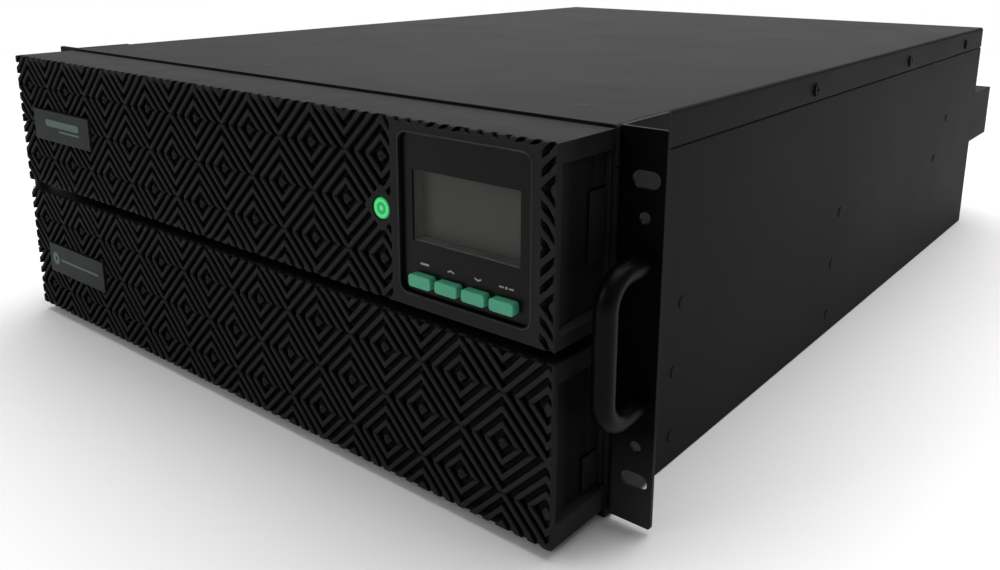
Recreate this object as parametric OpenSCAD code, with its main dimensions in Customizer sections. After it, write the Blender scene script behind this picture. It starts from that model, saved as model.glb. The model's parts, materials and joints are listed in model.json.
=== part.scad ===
// Rack-mount uninterruptible power supply, four rack units high.
// +X is to the right of somebody facing the front, +Y runs to the rear, +Z is up.
// The origin is under the middle of the chassis, in the plane of the rack's mounting rails.

/* [Rack mounting] */
// Overall width across the two rack ears
rack_w = 482.6; // [482.6:0.1:483.4]
// Distance between the left and right columns of rack holes
hole_span = 465.1; // [465.1:0.1:465.3]
// Height of the rack ears
ear_h = 174.8; // [172:0.2:176.4]
// Thickness of the rack ear steel
ear_t = 2; // [1.6:0.1:2.4]

/* [Chassis] */
// Width of the steel chassis
body_w = 438; // [436:0.5:440]
// Height of the steel chassis
body_h = 177.4; // [176:0.2:177.8]
// Depth of the chassis behind the rack rails
body_d = 600; // [580:5:660]
// Thickness of the sheet steel
sheet_t = 1.2; // [1:0.1:1.4]

/* [Front bezels] */
// Distance from the rack rails to the face of the bezels
bezel_reach = 43.6; // [40:0.2:48]
// Height of the lower bezel
lower_bezel_h = 82; // [78:0.5:82]
// Gap between the lower and the upper bezel
bezel_gap = 6; // [6:0.5:8]
// Thickness of a bezel's front wall
bezel_t = 3.5; // [3:0.1:4]

/* [Display] */
// Width and height of the square display panel
panel_w = 70.6; // [68:0.2:72]
// Width of the screen window
screen_w = 58.8; // [54:0.2:60]
// Height of the screen window
screen_h = 31.8; // [28:0.2:34]
// Distance between neighbouring keys
key_pitch = 15; // [14.4:0.1:15.4]
// How far a key travels when it is pressed
key_travel = 1.5; // [1:0.1:1.8]

/* [Handles] */
// Diameter of the handle's bar
handle_dia = 10; // [8:0.5:11]
// Distance between the handle's two feet
handle_pitch = 63; // [60:1:70]
// Reach of the bar's centre line ahead of the ear
handle_reach = 27; // [24:1:34]

/* [Batteries] */
// Length of one sealed battery
battery_l = 151; // [148:1:152]
// Width of one battery's footprint in its tray
battery_w = 94; // [90:1:98]
// Height of a battery as it lies in its tray
battery_h = 65; // [60:1:66]

/* [Hidden] */
$fn = 48;
eps = 0.01;
slack = 0.1;
front_y = -3;
bezel_back_y = -3.6;
half_w = body_w / 2;
bezel_front_y = -bezel_reach;
rack_mid_z = 90.1;
top_z = body_h;
lid_under_z = top_z - sheet_t;
seam_z = 159.4;
wall_top_z = lid_under_z - 1;
joggle = 1.3;
wall_in_x = half_w - joggle - sheet_t;
deck_z = 88;
deck_top_z = deck_z + sheet_t;
deck_half_w = half_w - sheet_t - slack;
lower_bezel_z = 5;
upper_bezel_z = lower_bezel_z + lower_bezel_h + bezel_gap;
upper_bezel_top_z = top_z - 1.2;

// Rack holes: square-hole rail pitch, slots at the ends and round holes inside them
slot_rise = 133.35;
round_rise = 101.6;
slot_w = 7.4;
slot_l = 12.8;
round_d = 5.2;

// Display
panel_x = 171;
panel_z = 134.9;
panel_face_y = bezel_front_y + 2;
panel_t = 2;
screen_z = 138.9;
lcd_depth = 6.5;
display_board_y = panel_face_y + lcd_depth + 5.2;
key_w = 12.6;
key_h = 5.5;
key_z = 106.2;
key_proud = 3.9;

// Badges and the status light
badge_w = 70;
badge_h = 20;
badge_x = -163.5;
badge_proud = 1.2;
upper_badge_z = 134.2;
lower_badge_z = 42.8;
light_x = 124.2;
light_z = 134.5;
light_r = 5;

// Side latches
latch_l = 11;
latch_y = -12.8;
latch_x = half_w - 2;
grip_depth = 3.4;
upper_latch_z = 137.5;
upper_latch_h = 30;
lower_latch_z = 27.5;
lower_latch_h = 16;

// Handles and screws
handle_r = handle_dia / 2;
handle_bend = 13;
m5_r = 2.5;
m4_r = 2;
bracket_l = 37;
bracket_screw_y = [12, 28];
bracket_screw_z = [52, 82, 105, 128];
cover_screw_y = [209, 388, 544];
cover_screw_z = 167;
lid_screw_x = [-181, -44, 181];
lid_screw_y = 27;
rivet_places = [[55, 15], [55, 49], [60, 83], [262, 13], [262, 48], [270, 81], [484, 79], [510, 109]];

// Power section
board_z = deck_top_z + 8;
board_t = 1.6;
board_x = [-205, 205];
board_y = [34, 500];
standoff_x = [board_x[0] + 10, 0, board_x[1] - 10];
standoff_y = [board_y[0] + 10, 267, board_y[1] - 10];
cable_end_y = 45;
sink_w = 46;
sink_l = 250;
sink_h = 62;
sink_y = 60;
sink_x = [-176, 70];
fan_w = 80;
fan_t = 25;
fan_x = [-168, -80];
fan_z = 131;
fan_y = body_d - sheet_t - fan_t;
fan_bore_r = 38;
fan_shaft_r = 1.5;

// Battery bay
tray_gap = 1.4;
tray_w = wall_in_x - tray_gap * 2 - 1;
tray_x = tray_gap + tray_w / 2;
tray_z = sheet_t + 0.2;
tray_side_h = 40;
battery_rows = 3;
tray_l = battery_rows * (battery_l + 2) + 18;
plug_w = 36;
plug_x = tray_gap + 44;
plug_z = 32;
pull_x = tray_x + 24;
pull_z = 60;

// Rear panel
rear_y = body_d - sheet_t;
cover_x = [98, half_w - 0.5];
cover_y = body_d + 61;
cover_z = [74, 118];
gland_x = [122, 158, 194];
gland_r = 9;
breaker_x = 64;
breaker_z = 58;
toggle_pin_r = 1.5;
card_x = 44;
card_z = 146;
outlet_x = [-176, -128, -80, -32];
outlet_z = 52;
port_z = 108;
socket_x = 150;
socket_z = 34;

// ---------- shared shapes ----------

// Block between two opposite corners
module block(lo, hi) translate(lo) cube(hi - lo);

// Cylinder along Y from y0 to y1, centred on (x, z)
module rod_y(r, y0, y1, x, z) translate([x, y0, z]) rotate([-90, 0, 0]) cylinder(r = r, h = y1 - y0);

// Cylinder along X from x0 to x1, centred on (y, z)
module rod_x(r, x0, x1, y, z) translate([x0, y, z]) rotate([0, 90, 0]) cylinder(r = r, h = x1 - x0);

// Upright cylinder from z0 to z1
module rod_z(r, z0, z1, x, y) translate([x, y, z0]) cylinder(r = r, h = z1 - z0);

// Plate in the XZ plane with round corners, from y0 to y1
module round_plate(w, h, r, y0, y1, x, z) {
  translate([x, y1, z]) rotate([90, 0, 0]) linear_extrude(y1 - y0) {
    square([w - 2 * r, h], center = true);
    square([w, h - 2 * r], center = true);
    for (sx = [-1, 1], sz = [-1, 1]) translate([sx * (w / 2 - r), sz * (h / 2 - r)]) circle(r);
  }
}

// The same shape on the left of the object as on the right
module sided(side) {
  if (side > 0) children();
  else mirror([1, 0, 0]) children();
}

// Quarter ring in the XZ plane of points on an arc
function arc(cx, cz, r, a0, a1, n = 6) =
  [for (i = [0:n]) let (a = a0 + (a1 - a0) * i / n) [cx + r * cos(a), cz + r * sin(a)]];

// ---------- sheet steel ----------

// One side wall's section: upright, stepped in under the cover's flange
module wall_section() {
  polygon([
    [0, 0], [half_w, 0], [half_w, seam_z], [half_w - joggle, seam_z + joggle],
    [half_w - joggle, wall_top_z], [wall_in_x, wall_top_z], [wall_in_x, seam_z + joggle - 0.4],
    [half_w - sheet_t, seam_z - 0.4], [half_w - sheet_t, sheet_t], [0, sheet_t]
  ]);
}

module chassis_base() {
  color("#26262a") difference() {
    for (side = [-1, 1]) sided(side)
      translate([0, body_d - sheet_t - slack, 0]) rotate([90, 0, 0])
        linear_extrude(body_d - sheet_t - slack - front_y) wall_section();
    for (side = [-1, 1]) {
      sided(side) for (y = bracket_screw_y, z = bracket_screw_z)
        rod_x(m4_r + slack, half_w - 4, half_w + 1, y, z);
      sided(side) for (y = cover_screw_y)
        rod_x(m4_r + slack, wall_in_x - 1, half_w, y, cover_screw_z);
    }
  }
}

// Cover section: flat top with a bent edge and a flange down each side
module lid_section() {
  bend = 2;
  inner = bend - sheet_t;
  outer_pts = concat([[0, top_z]], arc(half_w - bend, top_z - bend, bend, 90, 0));
  foot_pts = [[half_w, seam_z + 1.2], [half_w - sheet_t + slack, seam_z + 1.2]];
  inner_pts = concat(arc(half_w - bend, top_z - bend, inner + slack, 0, 90), [[0, lid_under_z + slack]]);
  polygon(concat(outer_pts, foot_pts, inner_pts));
}

// Cone of a flat-head lid screw, its top at z
module countersink(x, gap, z) {
  translate([x, lid_screw_y, z - 1.1]) cylinder(r1 = m4_r + gap, r2 = m4_r * 2.2 + gap, h = 1.1);
}

module top_cover() {
  color("#4a4a48") difference() {
    union() {
      for (side = [-1, 1]) sided(side)
        translate([0, body_d, 0]) rotate([90, 0, 0]) linear_extrude(body_d - front_y) lid_section();
      block([-half_w + 8, front_y, lid_under_z - 8], [half_w - 8, front_y + sheet_t, top_z - 0.2]);
    }
    for (side = [-1, 1]) sided(side) for (y = cover_screw_y)
      rod_x(m4_r + slack, half_w - 3, half_w + 1, y, cover_screw_z);
    for (x = lid_screw_x) {
      rod_z(m4_r + slack, lid_under_z - 2, top_z + 1, x, lid_screw_y);
      countersink(x, slack, top_z + eps);
    }
  }
}

module mid_deck() {
  color("#8d8f90") difference() {
    block([-deck_half_w, front_y + 4, deck_z], [deck_half_w, rear_y - 1, deck_top_z]);
    for (x = [-120, 120]) block([x - 20, 440, deck_z - 1], [x + 20, 470, deck_top_z + 1]);
  }
}

module bay_divider() {
  color("#8d8f90")
    block([-sheet_t / 2, front_y + 4, sheet_t], [sheet_t / 2, rear_y - 1, deck_z]);
}

// Front sheet of the power section, slotted for cooling air
module front_plate() {
  rows = 4;
  pitch = 12;
  x1 = wall_in_x - slack;
  y0 = front_y + 2;
  color("#2a2a2c") difference() {
    union() {
      block([-x1, y0, deck_top_z], [x1, y0 + sheet_t, lid_under_z]);
      block([-x1, y0, lid_under_z - sheet_t], [x1, lid_screw_y + 10, lid_under_z]);
    }
    for (row = [0:rows - 1], col = [0:22])
      block(
        [-205 + col * pitch, front_y, 97 + row * 18],
        [-205 + col * pitch + 5, front_y + 5, 110 + row * 18]
      );
    block([150, front_y, 118], [192, front_y + 5, 152]);
    for (x = lid_screw_x) rod_z(m4_r + slack, lid_under_z - 2, top_z + 1, x, lid_screw_y);
  }
}

// Rack ear: a steel angle, its face across the rack rail and its flange on the chassis side
module ear(side) {
  bend = 3;
  inner = bend - ear_t;
  z0 = rack_mid_z - ear_h / 2;
  x0 = half_w;
  x1 = rack_w / 2;
  sided(side) color("#1c1c20") difference() {
    union() {
      translate([0, 0, z0]) linear_extrude(ear_h) polygon(concat(
        [[x0 + 8, 0], [x0 + 8, -ear_t]],
        arc(x0 + bend, -ear_t + bend, bend, 270, 180),
        [[x0, bracket_l], [x0 + ear_t, bracket_l]],
        arc(x0 + bend, -ear_t + bend, inner, 180, 270)
      ));
      round_plate(x1 - x0 - bend, ear_h, 1.5, -ear_t, 0, (x0 + bend + x1) / 2, rack_mid_z);
    }
    for (dz = [-1, 1]) {
      slot_z = rack_mid_z + dz * slot_rise / 2;
      translate([hole_span / 2, 1, slot_z]) rotate([90, 0, 0]) linear_extrude(ear_t + 2) {
        square([slot_l - slot_w, slot_w], center = true);
        for (dx = [-1, 1]) translate([dx * (slot_l - slot_w) / 2, 0]) circle(slot_w / 2);
      }
      rod_y(round_d / 2, -ear_t - 1, 1, hole_span / 2, rack_mid_z + dz * round_rise / 2);
      rod_y(m5_r + slack, -ear_t - 1, 1, hole_span / 2, rack_mid_z + dz * handle_pitch / 2);
    }
    for (y = bracket_screw_y, z = bracket_screw_z) rod_x(m4_r + slack, x0 - 1, x0 + ear_t + 1, y, z);
  }
}

module ear_left() ear(-1);
module ear_right() ear(1);

// ---------- handles and fasteners ----------

// Bent round bar with a tapped hole in each foot
module handle(side) {
  x = hole_span / 2;
  bar_y = -ear_t - handle_reach;
  rise = handle_pitch / 2;
  sided(side) color("#242424") difference() {
    union() {
      rod_z(handle_r, rack_mid_z - rise + handle_bend, rack_mid_z + rise - handle_bend, x, bar_y);
      for (dz = [-1, 1]) {
        rod_y(handle_r, bar_y + handle_bend, -ear_t, x, rack_mid_z + dz * rise);
        translate([x, bar_y + handle_bend, rack_mid_z + dz * (rise - handle_bend)])
          rotate([0, 90, 0]) rotate([0, 0, dz > 0 ? 180 : 270])
            rotate_extrude(angle = 90) translate([handle_bend, 0]) circle(handle_r);
      }
    }
    for (dz = [-1, 1]) rod_y(m5_r + 0.05, -ear_t - 12, -ear_t + 1, x, rack_mid_z + dz * rise);
  }
}

module handle_left() handle(-1);
module handle_right() handle(1);

// Pan-head screw pointing along -X, its head on the plane x0
module side_screw(x0, y, z, len, r) {
  rod_x(r, x0 - len, x0 + eps, y, z);
  difference() {
    rod_x(r * 1.9, x0, x0 + r * 0.7, y, z);
    for (turn = [0, 90]) translate([x0 + r * 0.7, y, z]) rotate([turn, 0, 0])
      cube([r * 0.7, r * 2.2, r * 0.45], center = true);
  }
}

// Screws of the rack ears: through the flanges, and into the handles from behind
module bracket_screws() {
  color("#2e2e30") for (side = [-1, 1]) sided(side) {
    for (y = bracket_screw_y, z = bracket_screw_z) side_screw(half_w + ear_t, y, z, 6, m4_r);
    for (dz = [-1, 1]) {
      rod_y(m5_r, -ear_t - 10, eps, hole_span / 2, rack_mid_z + dz * handle_pitch / 2);
      rod_y(m5_r * 1.8, 0, 2.6, hole_span / 2, rack_mid_z + dz * handle_pitch / 2);
    }
  }
}

// Screws of the top cover
module cover_screws() {
  color("#1e1e20") {
    for (side = [-1, 1]) sided(side)
      for (y = cover_screw_y) side_screw(half_w, y, cover_screw_z, 5, m4_r);
    for (x = lid_screw_x) {
      rod_z(m4_r, top_z - 6, top_z - 1, x, lid_screw_y);
      countersink(x, 0, top_z);
    }
  }
}

// Flat rivets that hold the inner brackets to the side walls
module side_rivets() {
  color("#26262a") for (side = [-1, 1]) sided(side)
    for (p = rivet_places) rod_x(3.2, half_w, half_w + 0.5, p[0], p[1]);
}

// ---------- front bezels ----------

// Moulded bezel from z0 to z1: open at the back, with a sloping finger grip in each side
module bezel_shell(z0, z1, grip_z0, grip_z1) {
  cavity_x = half_w - 5.6;
  difference() {
    block([-half_w, bezel_front_y, z0], [half_w, bezel_back_y, z1]);
    block([-cavity_x, bezel_front_y + bezel_t, z0 + 2.5], [cavity_x, bezel_back_y + 1, z1 - 2.5]);
    for (side = [-1, 1]) sided(side) translate([0, 0, grip_z0]) linear_extrude(grip_z1 - grip_z0)
      polygon([
        [half_w + 1, bezel_front_y + 3], [half_w - 0.6, bezel_front_y + 3],
        [half_w - grip_depth, latch_y - 12], [half_w - grip_depth, bezel_back_y + 1],
        [half_w + 1, bezel_back_y + 1]
      ]);
  }
}

// Opening for a latch in a bezel's side wall
module latch_hole(side, z, h) {
  sided(side) block(
    [half_w - 7, latch_y - latch_l / 2 - 0.3, z - h / 2 - 0.3],
    [half_w + 1, latch_y + latch_l / 2 + 0.3, z + h / 2 + 0.3]
  );
}

module badge_pocket(z) {
  block(
    [badge_x - badge_w / 2 - 0.1, bezel_front_y - 1, z - badge_h / 2 - 0.1],
    [badge_x + badge_w / 2 + 0.1, bezel_front_y + 1, z + badge_h / 2 + 0.1]
  );
}

module upper_bezel() {
  color("#1d1d1c") difference() {
    bezel_shell(upper_bezel_z, upper_bezel_top_z, 101, 168);
    opening = panel_w + 0.4;
    y0 = bezel_front_y - 1;
    y1 = bezel_front_y + bezel_t + 1;
    round_plate(opening, opening, 4.2, y0, y1, panel_x, panel_z);
    rod_y(light_r + 0.1, y0, y1, light_x, light_z);
    badge_pocket(upper_badge_z);
    for (side = [-1, 1]) latch_hole(side, upper_latch_z, upper_latch_h);
  }
}

module lower_bezel() {
  color("#1d1d1c") difference() {
    bezel_shell(lower_bezel_z, lower_bezel_z + lower_bezel_h, 17.3, 79);
    badge_pocket(lower_badge_z);
    for (side = [-1, 1]) latch_hole(side, lower_latch_z, lower_latch_h);
  }
}

// Raised name-plate blank
module badge(z) {
  color("#3c4644")
    block(
      [badge_x - badge_w / 2, bezel_front_y - badge_proud, z - badge_h / 2],
      [badge_x + badge_w / 2, bezel_front_y + 1, z + badge_h / 2]
    );
}

module upper_badge() badge(upper_badge_z);
module lower_badge() badge(lower_badge_z);

module status_light() {
  color("#2fd07a") {
    rod_y(light_r, bezel_front_y + 0.2, bezel_front_y + 6, light_x, light_z);
    rod_y(light_r + 1.5, bezel_front_y + bezel_t + 0.1, bezel_front_y + 6, light_x, light_z);
  }
}

// Sliding latch pad with a catch behind it
module latch(side, z, h) {
  sided(side) color("#232323") union() {
    block([latch_x - 3, latch_y - latch_l / 2, z - h / 2], [latch_x, latch_y + latch_l / 2, z + h / 2]);
    block([latch_x - 6, latch_y - 2, z - 6], [latch_x - 3, latch_y + 2, z + 6]);
  }
}

module upper_latch_left() latch(-1, upper_latch_z, upper_latch_h);
module upper_latch_right() latch(1, upper_latch_z, upper_latch_h);
module lower_latch_left() latch(-1, lower_latch_z, lower_latch_h);
module lower_latch_right() latch(1, lower_latch_z, lower_latch_h);

// ---------- display ----------

function key_x(i) = panel_x + (i - 1.5) * key_pitch;

// Square front panel with the screen window and the key openings
module display_panel() {
  y0 = panel_face_y;
  y1 = panel_face_y + panel_t;
  skirt_y = panel_face_y + lcd_depth;
  color("#101010") difference() {
    union() {
      round_plate(panel_w, panel_w, 4, y0, y1, panel_x, panel_z);
      round_plate(screen_w + 3, screen_h + 3, 1, y1 - eps, skirt_y, panel_x, screen_z);
    }
    round_plate(screen_w, screen_h, 0.5, y0 - 1, skirt_y + 1, panel_x, screen_z);
    for (i = [0:3]) round_plate(key_w + 0.5, key_h + 0.5, 1.7, y0 - 1, y1 + 1, key_x(i), key_z);
  }
}

module display_window() {
  y0 = panel_face_y + 0.3;
  color("#8fa0a0") round_plate(screen_w - 0.1, screen_h - 0.1, 0.45, y0, y0 + 1, panel_x, screen_z);
}

module lcd_module() {
  lcd_y = panel_face_y + lcd_depth + 0.1;
  color("#3d3e3c") union() {
    block([panel_x - 31, lcd_y, screen_z - 18], [panel_x + 31, lcd_y + 2.4, screen_z + 18]);
    block([panel_x - 33, lcd_y + 2.4 - eps, screen_z - 20], [panel_x + 33, lcd_y + 5, screen_z + 20]);
  }
}

// Circuit board behind the display, with the key switches and a socket
module display_board() {
  y0 = display_board_y;
  color("#1d6b3a") {
    block([panel_x - 34, y0, panel_z - 34], [panel_x + 34, y0 + 1.6, panel_z + 34]);
    for (i = [0:3]) block([key_x(i) - 3, y0 - 4, key_z - 3], [key_x(i) + 3, y0 + eps, key_z + 3]);
    block([panel_x - 14, y0 + 1.6 - eps, 122], [panel_x + 14, y0 + 8, 129]);
  }
}

// Flat cable from the display board back through the front plate and down to the power board
module display_cable() {
  y0 = display_board_y + 8.1;
  foot_z = board_z + board_t + 6.1;
  color("#a7a9a8") translate([panel_x - 12, 0, 0]) rotate([90, 0, 90]) linear_extrude(24) polygon([
    [y0, 124], [y0 + 14, 124], [front_y + 14, 136], [cable_end_y, 136], [cable_end_y, foot_z],
    [cable_end_y + 1, foot_z], [cable_end_y + 1, 137], [front_y + 13.6, 137], [y0 + 13.6, 125], [y0, 125]
  ]);
}

// Rounded key with a stem to its switch
module key(i) {
  rest_gap = key_travel + 0.2;
  switch_y = display_board_y - 4;
  color("#69b798") {
    round_plate(key_w, key_h, 1.5, panel_face_y - key_proud, panel_face_y + panel_t, key_x(i), key_z);
    rod_y(1.6, panel_face_y + panel_t - eps, switch_y - rest_gap, key_x(i), key_z);
  }
}

module key_escape() key(0);
module key_up() key(1);
module key_down() key(2);
module key_enter() key(3);

// ---------- battery trays ----------

module battery_tray(side) {
  x0 = tray_x - tray_w / 2;
  x1 = tray_x + tray_w / 2;
  sided(side) color("#9a9c9d") difference() {
    union() {
      block([x0, front_y + sheet_t, tray_z], [x1, tray_l, tray_z + sheet_t]);
      block([x0, front_y + sheet_t, tray_z], [x0 + sheet_t, tray_l, tray_side_h]);
      block([x1 - sheet_t, front_y + sheet_t, tray_z], [x1, tray_l, tray_side_h]);
      block([x0, tray_l - sheet_t, tray_z], [x1, tray_l, tray_side_h]);
      block([x0, front_y, tray_z], [x1, front_y + sheet_t + eps, deck_z - 1.5]);
    }
    block([plug_x - plug_w / 2, front_y - 1, plug_z - 8], [plug_x + plug_w / 2, front_y + 3, plug_z + 8]);
    for (dx = [-30, 30]) rod_y(m4_r + slack, front_y - 1, front_y + 3, pull_x + dx, pull_z);
  }
}

module battery_tray_left() battery_tray(-1);
module battery_tray_right() battery_tray(1);

// Six sealed batteries with their terminal covers
module battery_blocks(side) {
  y_start = 6;
  z0 = tray_z + sheet_t;
  sided(side) color("#3b3f46") for (row = [0:battery_rows - 1], col = [-1, 1]) {
    y0 = y_start + row * (battery_l + 2);
    xc = tray_x + col * (battery_w / 2 + 2);
    block([xc - battery_w / 2, y0, z0], [xc + battery_w / 2, y0 + battery_l, z0 + battery_h - 3]);
    block([xc - 20, y0 + 20, z0 + battery_h - 3 - eps], [xc + 20, y0 + 60, z0 + battery_h]);
    block([xc - 20, y0 + 90, z0 + battery_h - 3 - eps], [xc + 20, y0 + 130, z0 + battery_h]);
  }
}

module battery_blocks_left() battery_blocks(-1);
module battery_blocks_right() battery_blocks(1);

// Two-pole battery plug in the tray's front with its leads to the batteries
module battery_plug(side) {
  sided(side) color("#b3392c") {
    block([plug_x - plug_w / 2, front_y - 22, plug_z - 8], [plug_x + plug_w / 2, front_y + 2, plug_z + 8]);
    for (dx = [-9, 9]) rod_y(3.2, front_y + 2 - eps, 5.5, plug_x + dx, plug_z);
  }
}

module battery_plug_left() battery_plug(-1);
module battery_plug_right() battery_plug(1);

// Round-bar pull on the tray's front
module tray_pull(side) {
  reach = 26;
  sided(side) color("#2b2b2b") {
    rod_x(4, pull_x - 34, pull_x + 34, front_y - reach, pull_z);
    for (dx = [-30, 30]) {
      rod_y(4, front_y - reach, front_y, pull_x + dx, pull_z);
      rod_y(m4_r, front_y - eps, front_y + 5, pull_x + dx, pull_z);
    }
  }
}

module tray_pull_left() tray_pull(-1);
module tray_pull_right() tray_pull(1);

// ---------- power electronics ----------

module power_board() {
  z1 = board_z + board_t;
  color("#1d5a34") difference() {
    union() {
      block([board_x[0], board_y[0], board_z], [board_x[1], board_y[1], z1]);
      block([panel_x - 14, cable_end_y - 5, z1 - eps], [panel_x + 14, cable_end_y + 6, z1 + 6]);
    }
    for (x = standoff_x, y = standoff_y) rod_z(m4_r + slack, board_z - 1, z1 + 1, x, y);
  }
}

module board_standoffs() {
  color("#c8b060") for (x = standoff_x, y = standoff_y) {
    rod_z(3.5, deck_top_z, board_z, x, y);
    rod_z(m4_r, board_z - eps, board_z + board_t + eps, x, y);
    rod_z(3.6, board_z + board_t, board_z + board_t + 2.4, x, y);
  }
}

// Extruded heatsink: a thick web with fins to both sides
module heatsinks() {
  fins = 8;
  z0 = board_z + board_t;
  color("#b9bcc0") for (x = sink_x) {
    block([x + sink_w / 2 - 3, sink_y, z0], [x + sink_w / 2 + 3, sink_y + sink_l, z0 + sink_h]);
    for (i = [0:fins - 1])
      block([x, sink_y, z0 + 4 + i * 7.4], [x + sink_w, sink_y + sink_l, z0 + 5.6 + i * 7.4]);
  }
}

module capacitor_bank() {
  z0 = board_z + board_t;
  color("#27344f") for (ix = [0:2], iy = [0:4])
    rod_z(15, z0, z0 + 52, -100 + ix * 33, 80 + iy * 34);
}

// Toroidal chokes lying flat on the board
module inductors() {
  z0 = board_z + board_t;
  color("#b5752e") for (p = [[151, 90], [151, 165], [151, 240], [15, 340]])
    translate([p[0], p[1], z0 + 12]) rotate_extrude() translate([21, 0]) circle(11.9);
}

module relays() {
  z0 = board_z + board_t;
  color("#d8d9d4") for (i = [0:5]) block([-190 + i * 34, 400, z0], [-162 + i * 34, 430, z0 + 24]);
}

// Control board standing on the power board, with its processor and sockets
module control_board() {
  z0 = board_z + board_t;
  color("#21456f") {
    block([58, 315, z0], [59.6, 392, z0 + 60]);
    block([54, 335, z0 + 20], [58 + eps, 365, z0 + 50]);
    block([59.6 - eps, 330, z0 + 20], [65, 360, z0 + 34]);
  }
}

// Mains filter: chokes and film capacitors on the board's rear edge
module emi_filter() {
  z0 = board_z + board_t;
  color("#c9b23c") for (x = [80, 130, 180]) {
    block([x - 15, 400, z0], [x + 15, 424, z0 + 28]);
    rod_z(17, z0, z0 + 34, x, 452);
  }
}

// ---------- cooling fans ----------

module fan_frames() {
  color("#1b1b1b") for (x = fan_x) difference() {
    union() {
      difference() {
        block([x - fan_w / 2, fan_y, fan_z - fan_w / 2], [x + fan_w / 2, fan_y + fan_t, fan_z + fan_w / 2]);
        rod_y(fan_bore_r, fan_y - 1, fan_y + fan_t + 1, x, fan_z);
      }
      rod_y(15, fan_y, fan_y + 4, x, fan_z);
      for (turn = [0:3]) translate([x, 0, fan_z]) rotate([0, 45 + 90 * turn, 0])
        block([13, fan_y, -2], [fan_bore_r + 1, fan_y + 3, 2]);
    }
    rod_y(fan_shaft_r + 0.06, fan_y - 1, fan_y + 5, x, fan_z);
    for (dx = [-1, 1], dz = [-1, 1])
      rod_y(2.2, fan_y - 1, fan_y + fan_t + 1, x + dx * 35.75, fan_z + dz * 35.75);
  }
}

// Hub, shaft and seven pitched blades
module fan_rotor(x) {
  color("#262626") {
    rod_y(18, fan_y + 5, fan_y + 22, x, fan_z);
    rod_y(fan_shaft_r, fan_y + 0.5, fan_y + 5 + eps, x, fan_z);
    for (i = [0:6]) translate([x, fan_y + 13.5, fan_z]) rotate([0, i * 360 / 7, 0])
      rotate([38, 0, 0]) translate([17, -1, -10]) cube([19, 2, 20]);
  }
}

module fan_rotor_left() fan_rotor(fan_x[0]);
module fan_rotor_right() fan_rotor(fan_x[1]);

// Wire finger guards on the rear panel
module fan_guards() {
  wire_r = 0.9;
  color("#b8babc") for (x = fan_x) {
    for (r = [10, 19, 28, 37]) translate([x, body_d + 2.7, fan_z]) rotate([90, 0, 0])
      rotate_extrude() translate([r, 0]) circle(wire_r, $fn = 16);
    for (turn = [0:3]) translate([x, 0, fan_z]) rotate([0, 45 + 90 * turn, 0])
      rod_x(wire_r, 10, 50.5, body_d + 1.3, 0);
    for (dx = [-1, 1], dz = [-1, 1])
      rod_y(4, body_d, body_d + 2.4, x + dx * 35.75, fan_z + dz * 35.75);
  }
}

// ---------- rear panel and its fittings ----------

module rear_panel() {
  color("#2a2a2c") difference() {
    union() {
      block(
        [-wall_in_x + slack, rear_y, sheet_t + slack],
        [wall_in_x - slack, body_d, lid_under_z - slack]
      );
      for (side = [-1, 1]) sided(side)
        block([half_w - sheet_t - 9, rear_y, 0], [half_w, body_d, seam_z]);
    }
    for (x = fan_x) rod_y(fan_bore_r, rear_y - 1, body_d + 1, x, fan_z);
    block([108, rear_y - 1, 82], [206, body_d + 1, 110]);
    block([breaker_x - 18, rear_y - 1, breaker_z - 23], [breaker_x + 18, body_d + 1, breaker_z + 23]);
    block([card_x - 36, rear_y - 1, card_z - 16], [card_x + 36, body_d + 1, card_z + 16]);
    for (x = outlet_x) block([x - 16, rear_y - 1, outlet_z - 12], [x + 16, body_d + 1, outlet_z + 12]);
    block([12, rear_y - 1, port_z - 8], [74, body_d + 1, port_z + 8]);
    block([socket_x - 24, rear_y - 1, socket_z - 11], [socket_x + 24, body_d + 1, socket_z + 11]);
    for (col = [0:9], row = [0:2])
      block([-206 + col * 20, rear_y - 1, 12 + row * 8], [-194 + col * 20, body_d + 1, 15 + row * 8]);
  }
}

// Folded cover over the mains terminals, with three cable entries in its underside
module terminal_cover() {
  t = sheet_t;
  color("#2b2b2c") difference() {
    block([cover_x[0], body_d, cover_z[0]], [cover_x[1], cover_y, cover_z[1]]);
    block([cover_x[0] + t, body_d - 1, cover_z[0] + t], [cover_x[1] - t, cover_y - t, cover_z[1] - t]);
    for (x = gland_x) rod_z(gland_r + slack, cover_z[0] - 1, cover_z[0] + t + 1, x, body_d + 34);
  }
}

module cable_glands() {
  color("#161616") for (x = gland_x) difference() {
    union() {
      rod_z(gland_r, cover_z[0] - 4, cover_z[0] + 6, x, body_d + 34);
      rod_z(gland_r + 4, cover_z[0] - 8, cover_z[0], x, body_d + 34);
      rod_z(gland_r + 1, cover_z[0] - 18, cover_z[0] - 8 + eps, x, body_d + 34);
    }
    rod_z(6, cover_z[0] - 20, cover_z[0] + 8, x, body_d + 34);
  }
}

// Six-way terminal strip
module terminal_block() {
  pitch = 15;
  ways = 6;
  x0 = 111;
  z0 = deck_top_z + 0.8;
  h = 18;
  y1 = body_d + 12;
  color("#202020") {
    block([x0, body_d - 20, z0], [x0 + ways * pitch + 2, y1, z0 + h]);
    for (i = [0:ways])
      block([x0 + i * pitch, y1 - eps, z0], [x0 + i * pitch + 2, y1 + 12, z0 + h]);
    for (i = [0:ways - 1]) rod_y(4, y1 - eps, y1 + 3, x0 + 1 + (i + 0.5) * pitch, z0 + h / 2);
  }
}

module breaker_body() {
  color("#1f1f1f") translate([breaker_x, body_d, breaker_z]) difference() {
    union() {
      block([-17.8, -55, -22.8], [17.8, 1, 22.8]);
      block([-21, 0, -26], [21, 5, 26]);
    }
    block([-11, -14, -15], [11, 6, 15]);
    rod_x(toggle_pin_r + 0.06, -13.5, 13.5, -1, 0);
  }
}

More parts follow.
